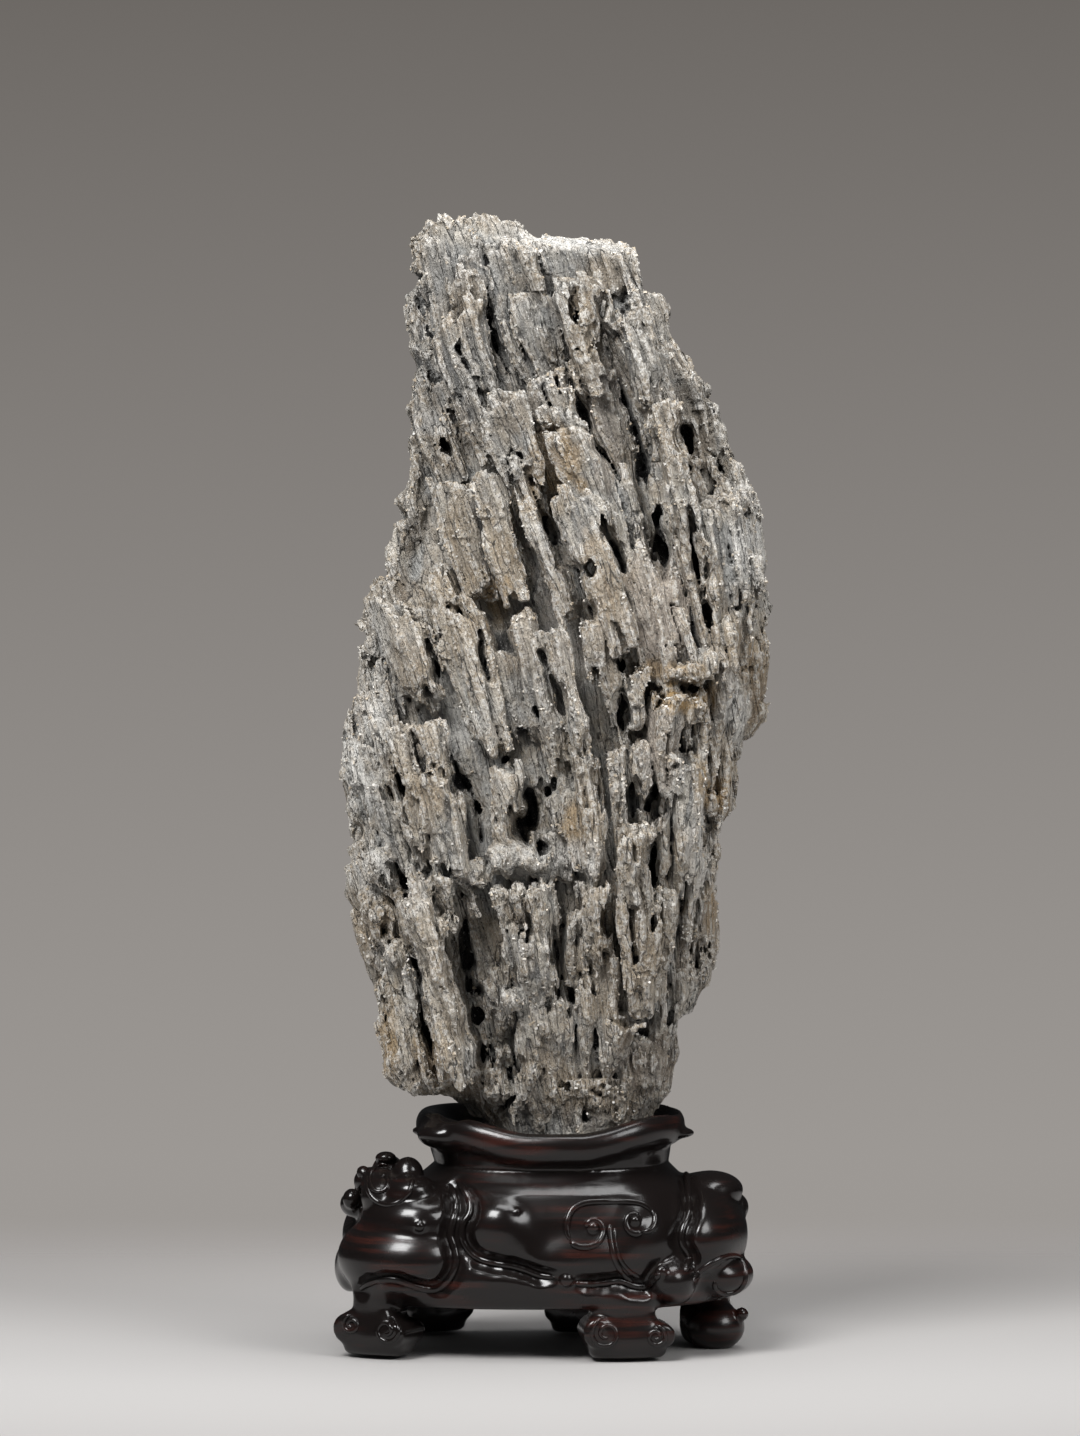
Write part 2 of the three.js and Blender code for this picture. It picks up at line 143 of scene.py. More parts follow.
# Planks of the stone's front: crown x and z, foot x and z, crown and foot width, how far it stands proud.
CREST_PLANKS: tuple[Row, ...] = (
    (-54, 488, -53, 436, 17, 18, 2), (-30, 488, -24, 446, 30, 22, -5), (-40, 473, -36, 446, 13, 14, 5),
    (-24, 477, -15, 442, 13, 15, 5), (-13, 477, -4, 453, 8, 7, 5), (14, 481, 22, 442, 40, 26, -4),
    (-41, 464, -34, 440, 17, 15, 7), (7, 458, 15, 414, 20, 12, 8), (-9, 452, 3, 415, 17, 13, 3),
    (-27, 457, -12, 416, 8, 9, 2), (-42, 445, -33, 404, 22, 16, 8), (-63, 452, -60, 418, 11, 13, 0),
    (44, 455, 56, 424, 15, 12, 1), (29, 443, 42, 400, 11, 10, 12), (41, 436, 50, 392, 7, 8, 9),
)
UPPER_PLANKS: tuple[Row, ...] = (
    (-57, 418, -52, 374, 15, 18, 3), (-44, 430, -34, 385, 13, 10, 5), (-6, 417, 9, 394, 24, 17, 7),
    (-22, 407, -11, 371, 19, 18, 10), (3, 394, 14, 359, 18, 13, 11), (18, 421, 30, 376, 16, 13, 6),
    (42, 404, 54, 352, 10, 10, 13), (53, 362, 57, 332, 9, 8, 9), (57, 426, 74, 372, 12, 12, 3),
    (67, 392, 70, 360, 10, 8, -3), (16, 383, 30, 345, 9, 9, 8), (24, 376, 39, 333, 14, 16, 6),
    (80, 381, 87, 318, 16, 14, 0), (67, 362, 72, 304, 18, 17, 9), (79, 366, 84, 304, 13, 14, 5),
    (-66, 375, -68, 334, 13, 14, 1), (-45, 373, -34, 322, 17, 15, 9), (-27, 376, -15, 328, 15, 14, 10),
    (-13, 371, 3, 318, 9, 9, 8), (8, 364, 22, 306, 20, 15, 12), (22, 358, 27, 302, 8, 8, 8),
    (42, 346, 44, 286, 24, 28, 2), (59, 322, 61, 298, 9, 9, 6),
)
MIDDLE_PLANKS: tuple[Row, ...] = (
    (-79, 332, -80, 286, 16, 15, 1), (-68, 319, -56, 283, 19, 16, 8), (-52, 334, -36, 268, 10, 11, 6),
    (-43, 322, -29, 256, 7, 8, 9), (-35, 320, -24, 262, 7, 9, 7), (-22, 302, -15, 264, 11, 10, 5),
    (-12, 316, -3, 262, 10, 8, 6), (-6, 306, 3, 257, 6, 8, 9), (1, 308, 14, 246, 9, 7, 12),
    (14, 312, 17, 288, 9, 8, 9), (23, 295, 24, 271, 8, 8, 5), (35, 291, 33, 262, 9, 10, 4),
    (52, 282, 45, 243, 15, 9, 7), (60, 290, 62, 262, 14, 12, 5), (77, 314, 75, 262, 10, 10, 8),
    (88, 307, 85, 265, 9, 8, -1), (72, 263, 73, 243, 14, 12, -1), (-85, 283, -87, 244, 14, 15, 1),
    (-76, 284, -74, 240, 12, 12, 5), (-64, 270, -57, 212, 11, 12, 11), (-53, 268, -44, 206, 10, 13, 12),
    (-45, 254, -39, 205, 8, 9, 6), (-83, 245, -80, 205, 18, 16, 3), (-72, 244, -62, 210, 9, 9, 7),
    (-25, 249, -20, 212, 12, 14, 9), (4, 256, 8, 205, 11, 12, 4), (18, 254, 18, 228, 4, 6, 6),
    (25, 256, 26, 224, 5, 6, 11), (37, 260, 37, 227, 6, 6, 8), (57, 256, 60, 198, 14, 14, 7),
    (46, 228, 45, 198, 9, 9, 4), (70, 230, 68, 196, 8, 8, -2),
)
LOWER_PLANKS: tuple[Row, ...] = (
    (18, 236, 18, 194, 11, 12, 9), (31, 224, 34, 146, 13, 18, 11), (-12, 222, -6, 198, 22, 26, 7),
    (-78, 214, -70, 196, 18, 16, 5), (-50, 207, -43, 190, 13, 13, 8), (-57, 191, -48, 156, 13, 9, 13),
    (-49, 172, -35, 114, 7, 10, 12), (-58, 166, -45, 114, 9, 8, 10), (-63, 198, -69, 174, 6, 8, 6),
    (-73, 164, -65, 115, 12, 14, 4), (-55, 146, -55, 113, 9, 9, -1), (-28, 159, -24, 130, 11, 10, 4),
    (-24, 198, -18, 167, 6, 6, 8), (-18, 199, -14, 169, 5, 5, 9), (-11, 199, -7, 171, 6, 6, 8),
    (-9, 177, -6, 147, 12, 13, 10), (-4, 146, -6, 108, 19, 22, 8), (-9, 122, -19, 102, 6, 5, 9),
    (-37, 118, -35, 99, 12, 7, 3), (8, 188, 8, 152, 8, 9, 6), (16, 197, 16, 162, 11, 12, 9),
    (15, 161, 16, 108, 13, 14, 7), (29, 144, 27, 117, 14, 9, 8), (42, 143, 42, 104, 20, 14, -1),
    (47, 196, 46, 147, 8, 9, 9), (54, 207, 55, 158, 10, 9, 5), (55, 160, 55, 149, 11, 9, 0),
    (67, 206, 66, 158, 11, 11, -1), (5, 113, 5, 92, 15, 14, 2),
    (-31, 116, -27, 93, 11, 9, 4), (-17, 106, -15, 92, 10, 10, 3), (22, 112, 21, 92, 14, 12, 5),
    (37, 115, 34, 93, 11, 9, 4), (-68, 150, -62, 111, 12, 11, 5),
)
# Broad masses that carry the planks forwards, or let them fall back: x, z, half-width, half-height, height.
MASSES: tuple[Row, ...] = (
    (-2, 362, 26, 42, 8), (-66, 300, 20, 30, 6), (-62, 240, 24, 36, 8), (-14, 268, 22, 20, -6),
    (-10, 228, 24, 22, -10), (30, 190, 16, 42, 8), (62, 240, 16, 40, 5), (47, 320, 14, 30, -7),
    (36, 402, 9, 40, 8), (24, 392, 7, 34, -9), (-56, 410, 16, 24, 3), (8, 436, 18, 24, 6),
    (-14, 446, 10, 22, -6), (-36, 432, 10, 22, 4), (30, 452, 14, 14, -5), (78, 340, 14, 30, 5),
    (64, 378, 9, 12, -9), (-44, 152, 12, 42, 7), (-30, 150, 8, 40, -10), (-8, 176, 12, 24, 3),
    (8, 150, 10, 26, -5), (44, 128, 16, 18, -4), (58, 282, 16, 10, 5), (20, 300, 18, 40, 5),
    (-20, 398, 18, 16, 5), (-64, 352, 12, 16, -5), (56, 186, 8, 24, -5),
)
# Rounded lumps: x, z, width, height, how far proud.
STONE_LUMPS: tuple[Row, ...] = (
    (-2, 399, 12, 12, 9),
    (11, 398, 11, 13, 9),
    (-87, 252, 15, 20, 1),
    (66, 294, 18, 16, 7),
    (56, 290, 18, 10, 8),
    (69, 237, 14, 13, 0),
    (-83, 186, 18, 26, 1),
    (-45, 184, 14, 14, 8),
    (-18, 153, 13, 12, 6),
    (-23, 212, 15, 13, 1),
    (-8, 214, 15, 14, 2),
    (3, 226, 9, 14, -2),
    (-32, 206, 12, 12, -1),
    (-67, 208, 16, 12, 2),
    (44, 316, 27, 62, 4),
    (-48, 151, 13, 80, 14),
    (-66, 138, 16, 54, 9),
    (-54, 126, 10, 28, 7),
    (60, 275, 14, 12, 1),
    (-50, 248, 12, 14, 5),
    (-71, 171, 12, 11, 6),
    (42, 124, 22, 24, 2),
)
# Clefts and hollows of the front: width, depth, then the x and z of each point of the line that they follow.
CLEFTS: tuple[tuple[float, float, tuple[Row, ...]], ...] = (
    (10, 6, ((-37, 478), (-31, 473))),
    (3.6, 14, ((-8, 472), (-5, 463), (-1, 456), (-2, 451))),
    (2.5, 8, ((-15, 464), (-11, 457))),
    (2.6, 10, ((20.5, 452), (20.5, 442))),
    (5, 20, ((-30, 452), (-28, 440), (-25, 432), (-22, 425), (-19, 418), (-17, 412))),
    (7, 16, ((21, 438), (23, 428), (23, 420))),
    (2, 6, ((9, 455), (9, 440))),
    (2.6, 9, ((36, 437), (45, 437))),
    (2.5, 9, ((-42, 430), (-38, 422), (-34, 415), (-30, 405), (-28, 402))),
    (3.4, 16, ((1, 428), (8, 412), (12, 404), (17, 392), (20, 386), (26, 377), (30, 368))),
    (4.8, 20, ((27, 420), (33, 400), (36, 392), (38, 382), (39, 372), (41, 363))),
    (9, 26, ((39, 362), (43, 356), (44, 349), (45, 342), (48, 334))),
    (7, 22, ((56, 399), (58, 390), (59, 382))),
    (7, 12, ((60, 380), (66, 376), (68, 366))),
    (3.2, 12, ((56, 360), (57, 350), (59, 345), (61, 330), (62, 322), (66, 310), (65, 302))),
    (3, 12, ((-50, 400), (-48, 390), (-44, 383), (-40, 377))),
    (4, 10, ((-44, 382), (-36, 372))),
    (3, 13, ((-10, 368), (-5, 358), (-1, 350), (1, 344), (4, 338), (8, 334), (10, 327), (13, 322),
             (16, 314))),
    (2.4, 9, ((20, 357), (23, 348), (27, 340), (30, 332))),
    (2.5, 10, ((15, 338), (15.5, 331))),
    (4, 7, ((-60, 356), (-52, 350))),
    (3, 12, ((-14, 347), (-10, 340), (-8, 332), (-10, 325), (-9, 320), (-6, 315))),
    (2, 7, ((-65, 330), (-60, 325), (-52, 321), (-42, 318), (-38, 315))),
    (3.4, 14, ((-62, 318), (-58, 312), (-55, 305), (-52, 298), (-50, 290), (-49, 282))),
    (9, 16, ((-60, 278), (-54, 271))),
    (2, 8, ((-33, 312), (-31, 302), (-30, 295), (-28, 288))),
    (2.4, 10, ((-6, 300), (-2, 290), (1, 283), (3, 275), (5, 267), (6, 261))),
    (2, 7, ((-10, 283), (-8, 275), (-6, 268))),
    (2.3, 9, ((-72, 262), (-70, 252), (-66, 245), (-63, 240), (-62, 230), (-58, 225))),
    (2, 7, ((-75, 248), (-70, 240), (-66, 232))),
    (2, 7, ((-60, 266), (-57, 258), (-56, 250))),
    (5.4, 24, ((-43, 266), (-43, 256), (-41, 247), (-38, 243), (-33, 232), (-32, 225), (-31, 215),
             (-29, 210), (-30, 205))),
    (7, 22, ((-25, 251), (-21, 254), (-17, 257))),
    (17, 30, ((-15, 242), (-10, 236), (-9, 228), (-13, 221))),
    (7, 16, ((17, 268), (18, 262), (20, 256))),
    (4.5, 16, ((29, 300), (28.5, 285), (28.5, 270), (29, 262))),
    (2.6, 8, ((42, 275), (46, 281), (50, 284), (60, 284), (66, 287), (70, 293))),
    (2.6, 13, ((19.5, 248), (19.5, 231))),
    (4.5, 16, ((34, 250), (34, 238), (32, 226))),
    (4.2, 18, ((50, 252), (46, 246), (42, 240), (40, 233), (40, 225))),
    (4.5, 18, ((43, 222), (42, 212), (40, 200), (41, 183))),
    (6, 18, ((1, 210), (7, 207), (13, 203))),
    (8, 14, ((-72, 196), (-66, 201), (-59, 197))),
    (3, 12, ((-72, 185), (-71, 177))),
    (5, 24, ((-41, 200), (-38, 185), (-40, 175), (-39, 165), (-38, 158), (-35, 153))),
    (8, 24, ((-39, 196), (-39, 172), (-34, 150), (-31, 130), (-31, 112))),
    (2.6, 16, ((-63, 176), (-58, 160), (-57, 146), (-54, 134), (-50, 116))),
    (3.8, 16, ((-1, 185), (0, 175), (2, 165), (3, 155), (6, 145))),
    (7, 20, ((-17, 131), (-19, 120), (-18, 112))),
    (3.6, 12, ((22, 195), (22, 182), (26, 178))),
    (2.2, 8, ((23, 150), (24, 145), (30, 142), (38, 144), (45, 143))),
    (5, 14, ((61, 183), (61, 160))),
    (3, 10, ((-16, 112), (-20, 108), (-23, 103))),
)
# Areas that water or handling has worn smooth: x, z, half-width, half-height.
WORN_AREAS: tuple[Row, ...] = (
    (43, 315, 15, 30),
    (21, 395, 10, 26),
    (44, 262, 9, 20),
    (-54, 127, 8, 14),
    (40, 126, 12, 16),
    (-20, 216, 26, 12),
    (4, 300, 26, 34),
)


def value_noise(x: Array, y: Array, z: Array, seed: int) -> Array:
    """Smooth noise at points, one lattice cell per unit.

    Args:
        x, y, z: The points' coordinates in lattice cells.
        seed: Picks the pattern.

    Returns:
        A value from -1 to 1 at each point.
    """
    cells = [np.floor(a).astype(np.int32) for a in (x, y, z)]
    parts = [(a - c).astype(np.float32) for a, c in zip((x, y, z), cells)]
    parts = [p * p * (3 - 2 * p) for p in parts]
    total = np.zeros(np.shape(x), np.float32)
    for corner in range(8):
        step = [corner & 1, corner >> 1 & 1, corner >> 2]
        weight = np.ones_like(total)
        for part, s in zip(parts, step):
            weight = weight * (part if s else 1 - part)
        total += weight * chance(cells[0] + step[0], cells[1] + step[1], cells[2] + step[2], seed)
    return 2 * total - 1


def chance(i: Array, j: Array, k: Array, seed: int) -> Array:
    """A repeatable random number from 0 to 1 for each whole-number cell.

    Args:
        i, j, k: The cell's numbers.
        seed: Picks the pattern.

    Returns:
        A float32 number for each cell.
    """
    h = i.astype(np.uint32) * np.uint32(0x27D4EB2D)
    h = h ^ (j.astype(np.uint32) * np.uint32(0x165667B1))
    h = h ^ (k.astype(np.uint32) * np.uint32(0x9E3779B1) + np.uint32(seed * 7919 + 17))
    for shift, factor in ((15, 0x85EBCA6B), (13, 0xC2B2AE35)):
        h = (h ^ (h >> np.uint32(shift))) * np.uint32(factor)
    return ((h ^ (h >> np.uint32(16))) >> np.uint32(8)).astype(np.float32) / np.float32(1 << 24)


def splinters(u: Array, v: Array, seed: int) -> tuple[Array, Array]:
    """Divides a plane into irregular cells, one per unit, as splinters of stone are in section.

    Args:
        u, v: Coordinates across the grain, in cells.
        seed: Picks the pattern.

    Returns:
        A random number for the cell that holds each point, and the point's distance from its edge.
    """
    base_u, base_v = np.floor(u).astype(np.int32), np.floor(v).astype(np.int32)
    nearest = np.full(u.shape, 9, np.float32)
    second = nearest.copy()
    name = np.zeros(u.shape, np.float32)
    for du in (-1, 0, 1):
        for dv in (-1, 0, 1):
            i, j = base_u + du, base_v + dv
            place_u = i + chance(i, j, j, seed)
            place_v = j + chance(i, j, i, seed + 1)
            apart = np.hypot(u - place_u, v - place_v).astype(np.float32)
            closer = apart < nearest
            second = np.where(closer, nearest, np.minimum(second, apart))
            name = np.where(closer, chance(i, j, i + j, seed + 2), name)
            nearest = np.where(closer, apart, nearest)
    return name, second - nearest


@dataclass
class SplinterMap:
    """Irregular cells across the grain, one per splinter, kept in a table for quick reading."""

    size: float
    seed: int
    spacing: float = 0.25
    low: tuple[float, float] = (-175.0, -80.0)
    high: tuple[float, float] = (180.0, 80.0)
    name: Array = field(init=False)
    edge: Array = field(init=False)

    def __post_init__(self) -> None:
        """Fills the table."""
        ends = zip(self.low, self.high)
        sides = [np.arange(a, b, self.spacing, dtype=np.float32) / self.size for a, b in ends]
        self.name, self.edge = splinters(*np.meshgrid(*sides, indexing="ij"), self.seed)

    def at(self, u: Array, v: Array) -> tuple[Array, Array]:
        """The random number of the cell at each place, and the place's distance from the cell's edge."""
        i, j = (
            np.clip(((a - low) / self.spacing).astype(np.int32), 0, count - 1)
            for a, low, count in zip((u, v), self.low, self.name.shape)
        )
        return self.name[i, j], self.edge[i, j]


def smooth_min(a: Array, b: Array, soft: float) -> Array:
    """Joins two fields with a fillet of about the given size."""
    h = np.clip(0.5 + 0.5 * (b - a) / soft, 0, 1)
    return b * (1 - h) + a * h - soft * h * (1 - h)


def ramp(value: Array, low: float, high: float) -> Array:
    """A smooth step from 0 at low to 1 at high."""
    t = np.clip((value - low) / (high - low), 0, 1)
    return t * t * (3 - 2 * t)


@dataclass(frozen=True)
class Envelope:
    """A rounded form given by its level sections: height, west edge, east edge, front and back."""

    levels: tuple[Row, ...]
    power: float = 2.5

    def section(self, z: Array) -> tuple[Array, Array, Array, Array]:
        """The section's centre, half-width, front depth and back depth at a height."""
        table = np.array(self.levels[::-1], float)
        west, east, front, back = (np.interp(z, table[:, 0], table[:, i]) for i in (1, 2, 3, 4))
        return (west + east) / 2, (east - west) / 2, -front, back

    def point(self, heading: float, z: float) -> Array:
        """The point of the surface at a heading, which is 0 towards the viewer."""
        centre, half, front, back = (float(a) for a in self.section(z))
        s, c = math.sin(heading), math.cos(heading)
        squared = [math.copysign(abs(a) ** (2 / self.power), a) for a in (s, c)]
        depth = front if c > 0 else back
        return np.array([centre + half * squared[0], -depth * squared[1], z])

    def outward(self, heading: float, z: float) -> Array:
        """The level direction that the surface faces at a heading."""
        along = self.point(heading + 0.03, z) - self.point(heading - 0.03, z)
        out = np.array([along[1], -along[0], 0.0])
        return out / np.linalg.norm(out)

    def heading_at(self, x: float, z: float) -> float:
        """The heading at which the front reaches a given x."""
        centre, half, _, _ = self.section(z)
        u = float(np.clip((x - centre) / half, -0.985, 0.985))
        return math.asin(math.copysign(abs(u) ** (self.power / 2), u))

    def front_face(self, x: Array, z: Array) -> Array:
        """The y of the front at a place as seen from the front."""
        centre, half, front, _ = self.section(z)
        aside = np.clip(np.abs(x - centre) / half, 0, 0.985)
        return -front * (1 - aside**self.power) ** (1 / self.power)

    def distance(
        self, x: Array, y: Array, z: Array, inset: float = 0, side_inset: float | None = None
    ) -> Array:
        """Signed distance from the surface, measured level from the middle of the section.

        Args:
            x, y, z: The points.
            inset: How far inside the form the surface lies.
            side_inset: The same for its east and west sides, where it differs.

        Returns:
            The distance, negative inside.
        """
        centre, half, front, back = self.section(z)
        across = (x - centre) / (half - (inset if side_inset is None else side_inset))
        depth = np.where(y < 0, y / (front - inset), y / (back - inset))
        size = (np.abs(across) ** self.power + np.abs(depth) ** self.power) ** (1 / self.power)
        size = np.maximum(size, 1e-3)
        return (np.hypot(x - centre, y) * (1 - 1 / size)).astype(np.float32)


@dataclass
class Sculpture:
    """A block of voxels that is joined to and cut, then skinned as a mesh."""

    low: tuple[float, float, float]
    high: tuple[float, float, float]
    step: float
    wander_cell: float = 15.0
    wander: float = 2.2
    axes: list[Array] = field(init=False)
    value: Array = field(init=False)
    drift: list[Array] = field(init=False)

    def __post_init__(self) -> None:
        """Lays out the voxels, empty, with a slow drift that keeps edges from running straight."""
        self.axes = [
            np.arange(a, b + self.step, self.step, dtype=np.float32) for a, b in zip(self.low, self.high)
        ]
        self.value = np.full([len(a) for a in self.axes], 60, np.float32)
        self.drift = [self.wandering(seed) for seed in (3, 5)]

    def wandering(self, seed: int) -> Array:
        """A slow random field over the whole block, of the wander's size."""
        weights = []
        for axis in self.axes:
            place = (axis - axis[0]) / self.wander_cell
            knots = np.arange(int(place[-1]) + 4) - 1
            apart = np.abs(place[:, None] - knots[None, :])
            inner = 2 / 3 - apart**2 + apart**3 / 2
            outer = np.clip(2 - apart, 0, 2) ** 3 / 6
            weights.append(np.where(apart < 1, inner, outer).astype(np.float32))
        lattice = np.random.RandomState(seed).uniform(-1, 1, [w.shape[1] for w in weights])
        made = lattice.astype(np.float32)
        for w in weights:
            made = np.tensordot(made, w, (0, 1))
        return made * np.float32(2 * self.wander)

    def window(self, low: Sequence[float], high: Sequence[float]) -> tuple[slice, slice, slice]:
        """The slices of the block that hold a box."""
        cut = []
        for axis, a, b in zip(self.axes, low, high):
            first, last = np.searchsorted(axis, [a, b])
            cut.append(slice(max(0, int(first)), max(0, int(last))))
        return cut[0], cut[1], cut[2]

    def grid(self, cut: tuple[slice, slice, slice]) -> tuple[Array, Array, Array]:
        """The coordinates of a window's voxels."""
        return np.meshgrid(*[axis[c] for axis, c in zip(self.axes, cut)], indexing="ij")

    def sample(self, values: Array, points: Array) -> Array:
        """Reads a field at points, between its voxels."""
        place = (points - np.array([a[0] for a in self.axes])) / self.step
        cell = np.clip(np.floor(place).astype(int), 0, np.array(values.shape) - 2)
        part = (place - cell).astype(np.float32)
        total = np.zeros(len(points), np.float32)
        for corner in range(8):
            step = np.array([corner & 1, corner >> 1 & 1, corner >> 2])
            weight = np.prod(np.where(step, part, 1 - part), axis=1)
            i, j, k = (cell + step).T
            total += weight * values[i, j, k]
        return total

    def ellipsoid(
        self,
        centre: Array,
        axes: Array,
        sizes: Sequence[float],
        soft: float,
        cut: bool = False,
        ragged: Callable[[Array, Array, Array], Array] | None = None,
    ) -> None:
        """Joins or cuts an ellipsoid.

        Args:
            centre: Its middle.
            axes: Its three unit directions, as rows.
            sizes: Its half-size along each.
            soft: The fillet's size.
            cut: Takes the ellipsoid away instead of joining it.
            ragged: Gives how far its surface strays at each point.
        """
        reach = np.abs(np.array(axes) * np.array(sizes)[:, None]).sum(axis=0) + soft + 5
        window = self.window(centre - reach, centre + reach)
        x, y, z = self.grid(window)
        x = x + self.drift[0][window] - centre[0]
        z = z + self.drift[1][window] - centre[2]
        y = y - centre[1]
        near = [(x * a[0] + y * a[1] + z * a[2]) / s for a, s in zip(axes, sizes)]
        size = np.sqrt(near[0] ** 2 + near[1] ** 2 + near[2] ** 2)
        steep = np.sqrt(sum((n / s) ** 2 for n, s in zip(near, sizes)))
        shape = size * (size - 1) / np.maximum(steep, 1e-3)
        if ragged is not None:
            shape = shape + ragged(*self.grid(window))
        if cut:
            self.value[window] = -smooth_min(-self.value[window], shape, soft)
        else:
            self.value[window] = smooth_min(self.value[window], shape, soft)

    def blurred(self, radius: float) -> Array:
        """The share of solid within a box of the given radius round each voxel."""
        share = (self.value < 0).astype(np.float32)
        reach = max(1, round(radius / self.step))
        for axis in range(3):
            pad = [(reach + 1, reach) if a == axis else (0, 0) for a in range(3)]
            running = np.cumsum(np.pad(share, pad, mode="edge"), axis=axis, dtype=np.float32)
            size = share.shape[axis]
            ahead = np.take(running, range(2 * reach + 1, 2 * reach + 1 + size), axis=axis)
            share = (ahead - np.take(running, range(size), axis=axis)) / (2 * reach + 1)
        return share

    def skin(self) -> tuple[Array, Array]:
        """The surface where the field is zero, as points in millimetres and four-sided faces."""
        solid = self.value < 0
        count = np.zeros([n - 1 for n in solid.shape], np.int8)
        corners = [(i, j, k) for i in (0, 1) for j in (0, 1) for k in (0, 1)]
        for i, j, k in corners:
            ends = zip((i, j, k), solid.shape)
            count += solid[tuple(slice(at, size - 1 + at) for at, size in ends)]
        cells = np.argwhere((count > 0) & (count < 8))
        number = np.full(count.shape, -1, np.int32)
        number[tuple(cells.T)] = np.arange(len(cells))
        total, crossings = np.zeros((len(cells), 3)), np.zeros(len(cells))
        for start in corners:
            for axis in range(3):
                if start[axis]:
                    continue
                end = tuple(1 if a == axis else s for a, s in enumerate(start))
                first = self.value[tuple((cells + start).T)]
                last = self.value[tuple((cells + end).T)]
                crossed = (first < 0) != (last < 0)
                t = np.where(crossed, first / np.where(crossed, first - last, 1), 0)
                place = np.array(start, float)[None, :].repeat(len(cells), 0)
                place[:, axis] = t
                total += place * crossed[:, None]
                crossings += crossed
        points = np.array(self.low) + (cells + total / crossings[:, None]) * self.step
        faces = [self._faces_across(solid, number, axis) for axis in range(3)]
        return points, np.concatenate(faces)

    @staticmethod
    def _faces_across(solid: Array, number: Array, axis: int) -> Array:
        """The faces that cross the grid's edges along one axis."""
        others = [a for a in range(3) if a != axis]
        inner = [slice(None)] * 3
        for other in others:
            inner[other] = slice(1, solid.shape[other] - 1)
        ahead = np.moveaxis(solid, axis, 0)[1:]
        behind = np.moveaxis(solid, axis, 0)[:-1]
        changed = np.moveaxis(ahead != behind, 0, axis)[tuple(inner)]
        leaving = np.moveaxis(behind & ~ahead, 0, axis)[tuple(inner)]
        places = np.argwhere(changed)
        out = leaving[tuple(places.T)]
        places[:, others] += 1
        ring = []
        for back in ((1, 1), (0, 1), (0, 0), (1, 0)):
            cell = places.copy()
            cell[:, others[0]] -= back[0]
            cell[:, others[1]] -= back[1]
            ring.append(number[tuple(cell.T)])
        faces = np.stack(ring, axis=1)
        turned = out if axis != 1 else ~out
        return np.where(turned[:, None], faces, faces[:, ::-1])


def mesh_of(name: str, points: Array, faces: Array) -> bpy.types.Mesh:
    """A mesh in the frame from points in the tables' millimetres.

    Args:
        name: The mesh's name.
        points: One row per point.
        faces: One row of point numbers per face.

    Returns:
        The mesh, with smooth faces.
    """
    mesh = bpy.data.meshes.new(name)
    mesh.vertices.add(len(points))
    mesh.vertices.foreach_set("co", ((points + np.array(TABLE_ORIGIN)) * MM).astype(np.float32).ravel())
    sides = faces.shape[1]
    mesh.loops.add(faces.size)
    mesh.loops.foreach_set("vertex_index", faces.astype(np.int32).ravel())
    mesh.polygons.add(len(faces))
    mesh.polygons.foreach_set("loop_start", np.arange(0, faces.size, sides, dtype=np.int32))
    mesh.update(calc_edges=True)
    mesh.validate()
    mesh.shade_smooth()
    return mesh


def table_points(mesh: bpy.types.Mesh) -> Array:
    """A mesh's points, back in the tables' millimetres."""
    flat = np.empty(len(mesh.vertices) * 3, np.float32)
    mesh.vertices.foreach_get("co", flat)
    return flat.reshape(-1, 3) / MM - np.array(TABLE_ORIGIN)


def object_of(name: str, mesh: bpy.types.Mesh) -> bpy.types.Object:
    """A scene object for a mesh, at the origin."""
    made = bpy.data.objects.new(name, mesh)
    bpy.context.scene.collection.objects.link(made)
    return made


def thinned(piece: bpy.types.Object, limit: int, spared: Array) -> None:
    """Thins a mesh to a number of triangles, mostly where it is flattest and least seen.

    Args:
        piece: The object whose mesh is thinned.
        limit: The most triangles to keep.
        spared: How far each point is spared, from 0 to 1.
    """
    triangles = sum(len(p.vertices) - 2 for p in piece.data.polygons)
    if triangles > limit:
        group = piece.vertex_groups.new(name="thin")
        levels = np.round(spared * 4).astype(int)
        for level in range(5):
            group.add(np.nonzero(levels == level)[0].tolist(), 1 - level / 4, "REPLACE")
        thin = piece.modifiers.new("thin", "DECIMATE")
        thin.ratio = limit / triangles
        thin.vertex_group = "thin"
        applied(piece)
        piece.vertex_groups.clear()


def applied(piece: bpy.types.Object) -> None:
    """Turns a piece's modifiers into plain mesh."""
    graph = bpy.context.evaluated_depsgraph_get()
    made = bpy.data.meshes.new_from_object(piece.evaluated_get(graph))
    old = piece.data
    made.name = old.name
    piece.modifiers.clear()
    piece.data = made
    bpy.data.meshes.remove(old)


def paint(mesh: bpy.types.Mesh, name: str, values: Array) -> None:
    """Stores a number, or a vector, on each point of a mesh for its material to read."""
    kind = "FLOAT_VECTOR" if values.ndim > 1 else "FLOAT"
    layer = mesh.attributes.new(name, kind, "POINT")
    layer.data.foreach_set("vector" if values.ndim > 1 else "value", values.astype(np.float32).ravel())


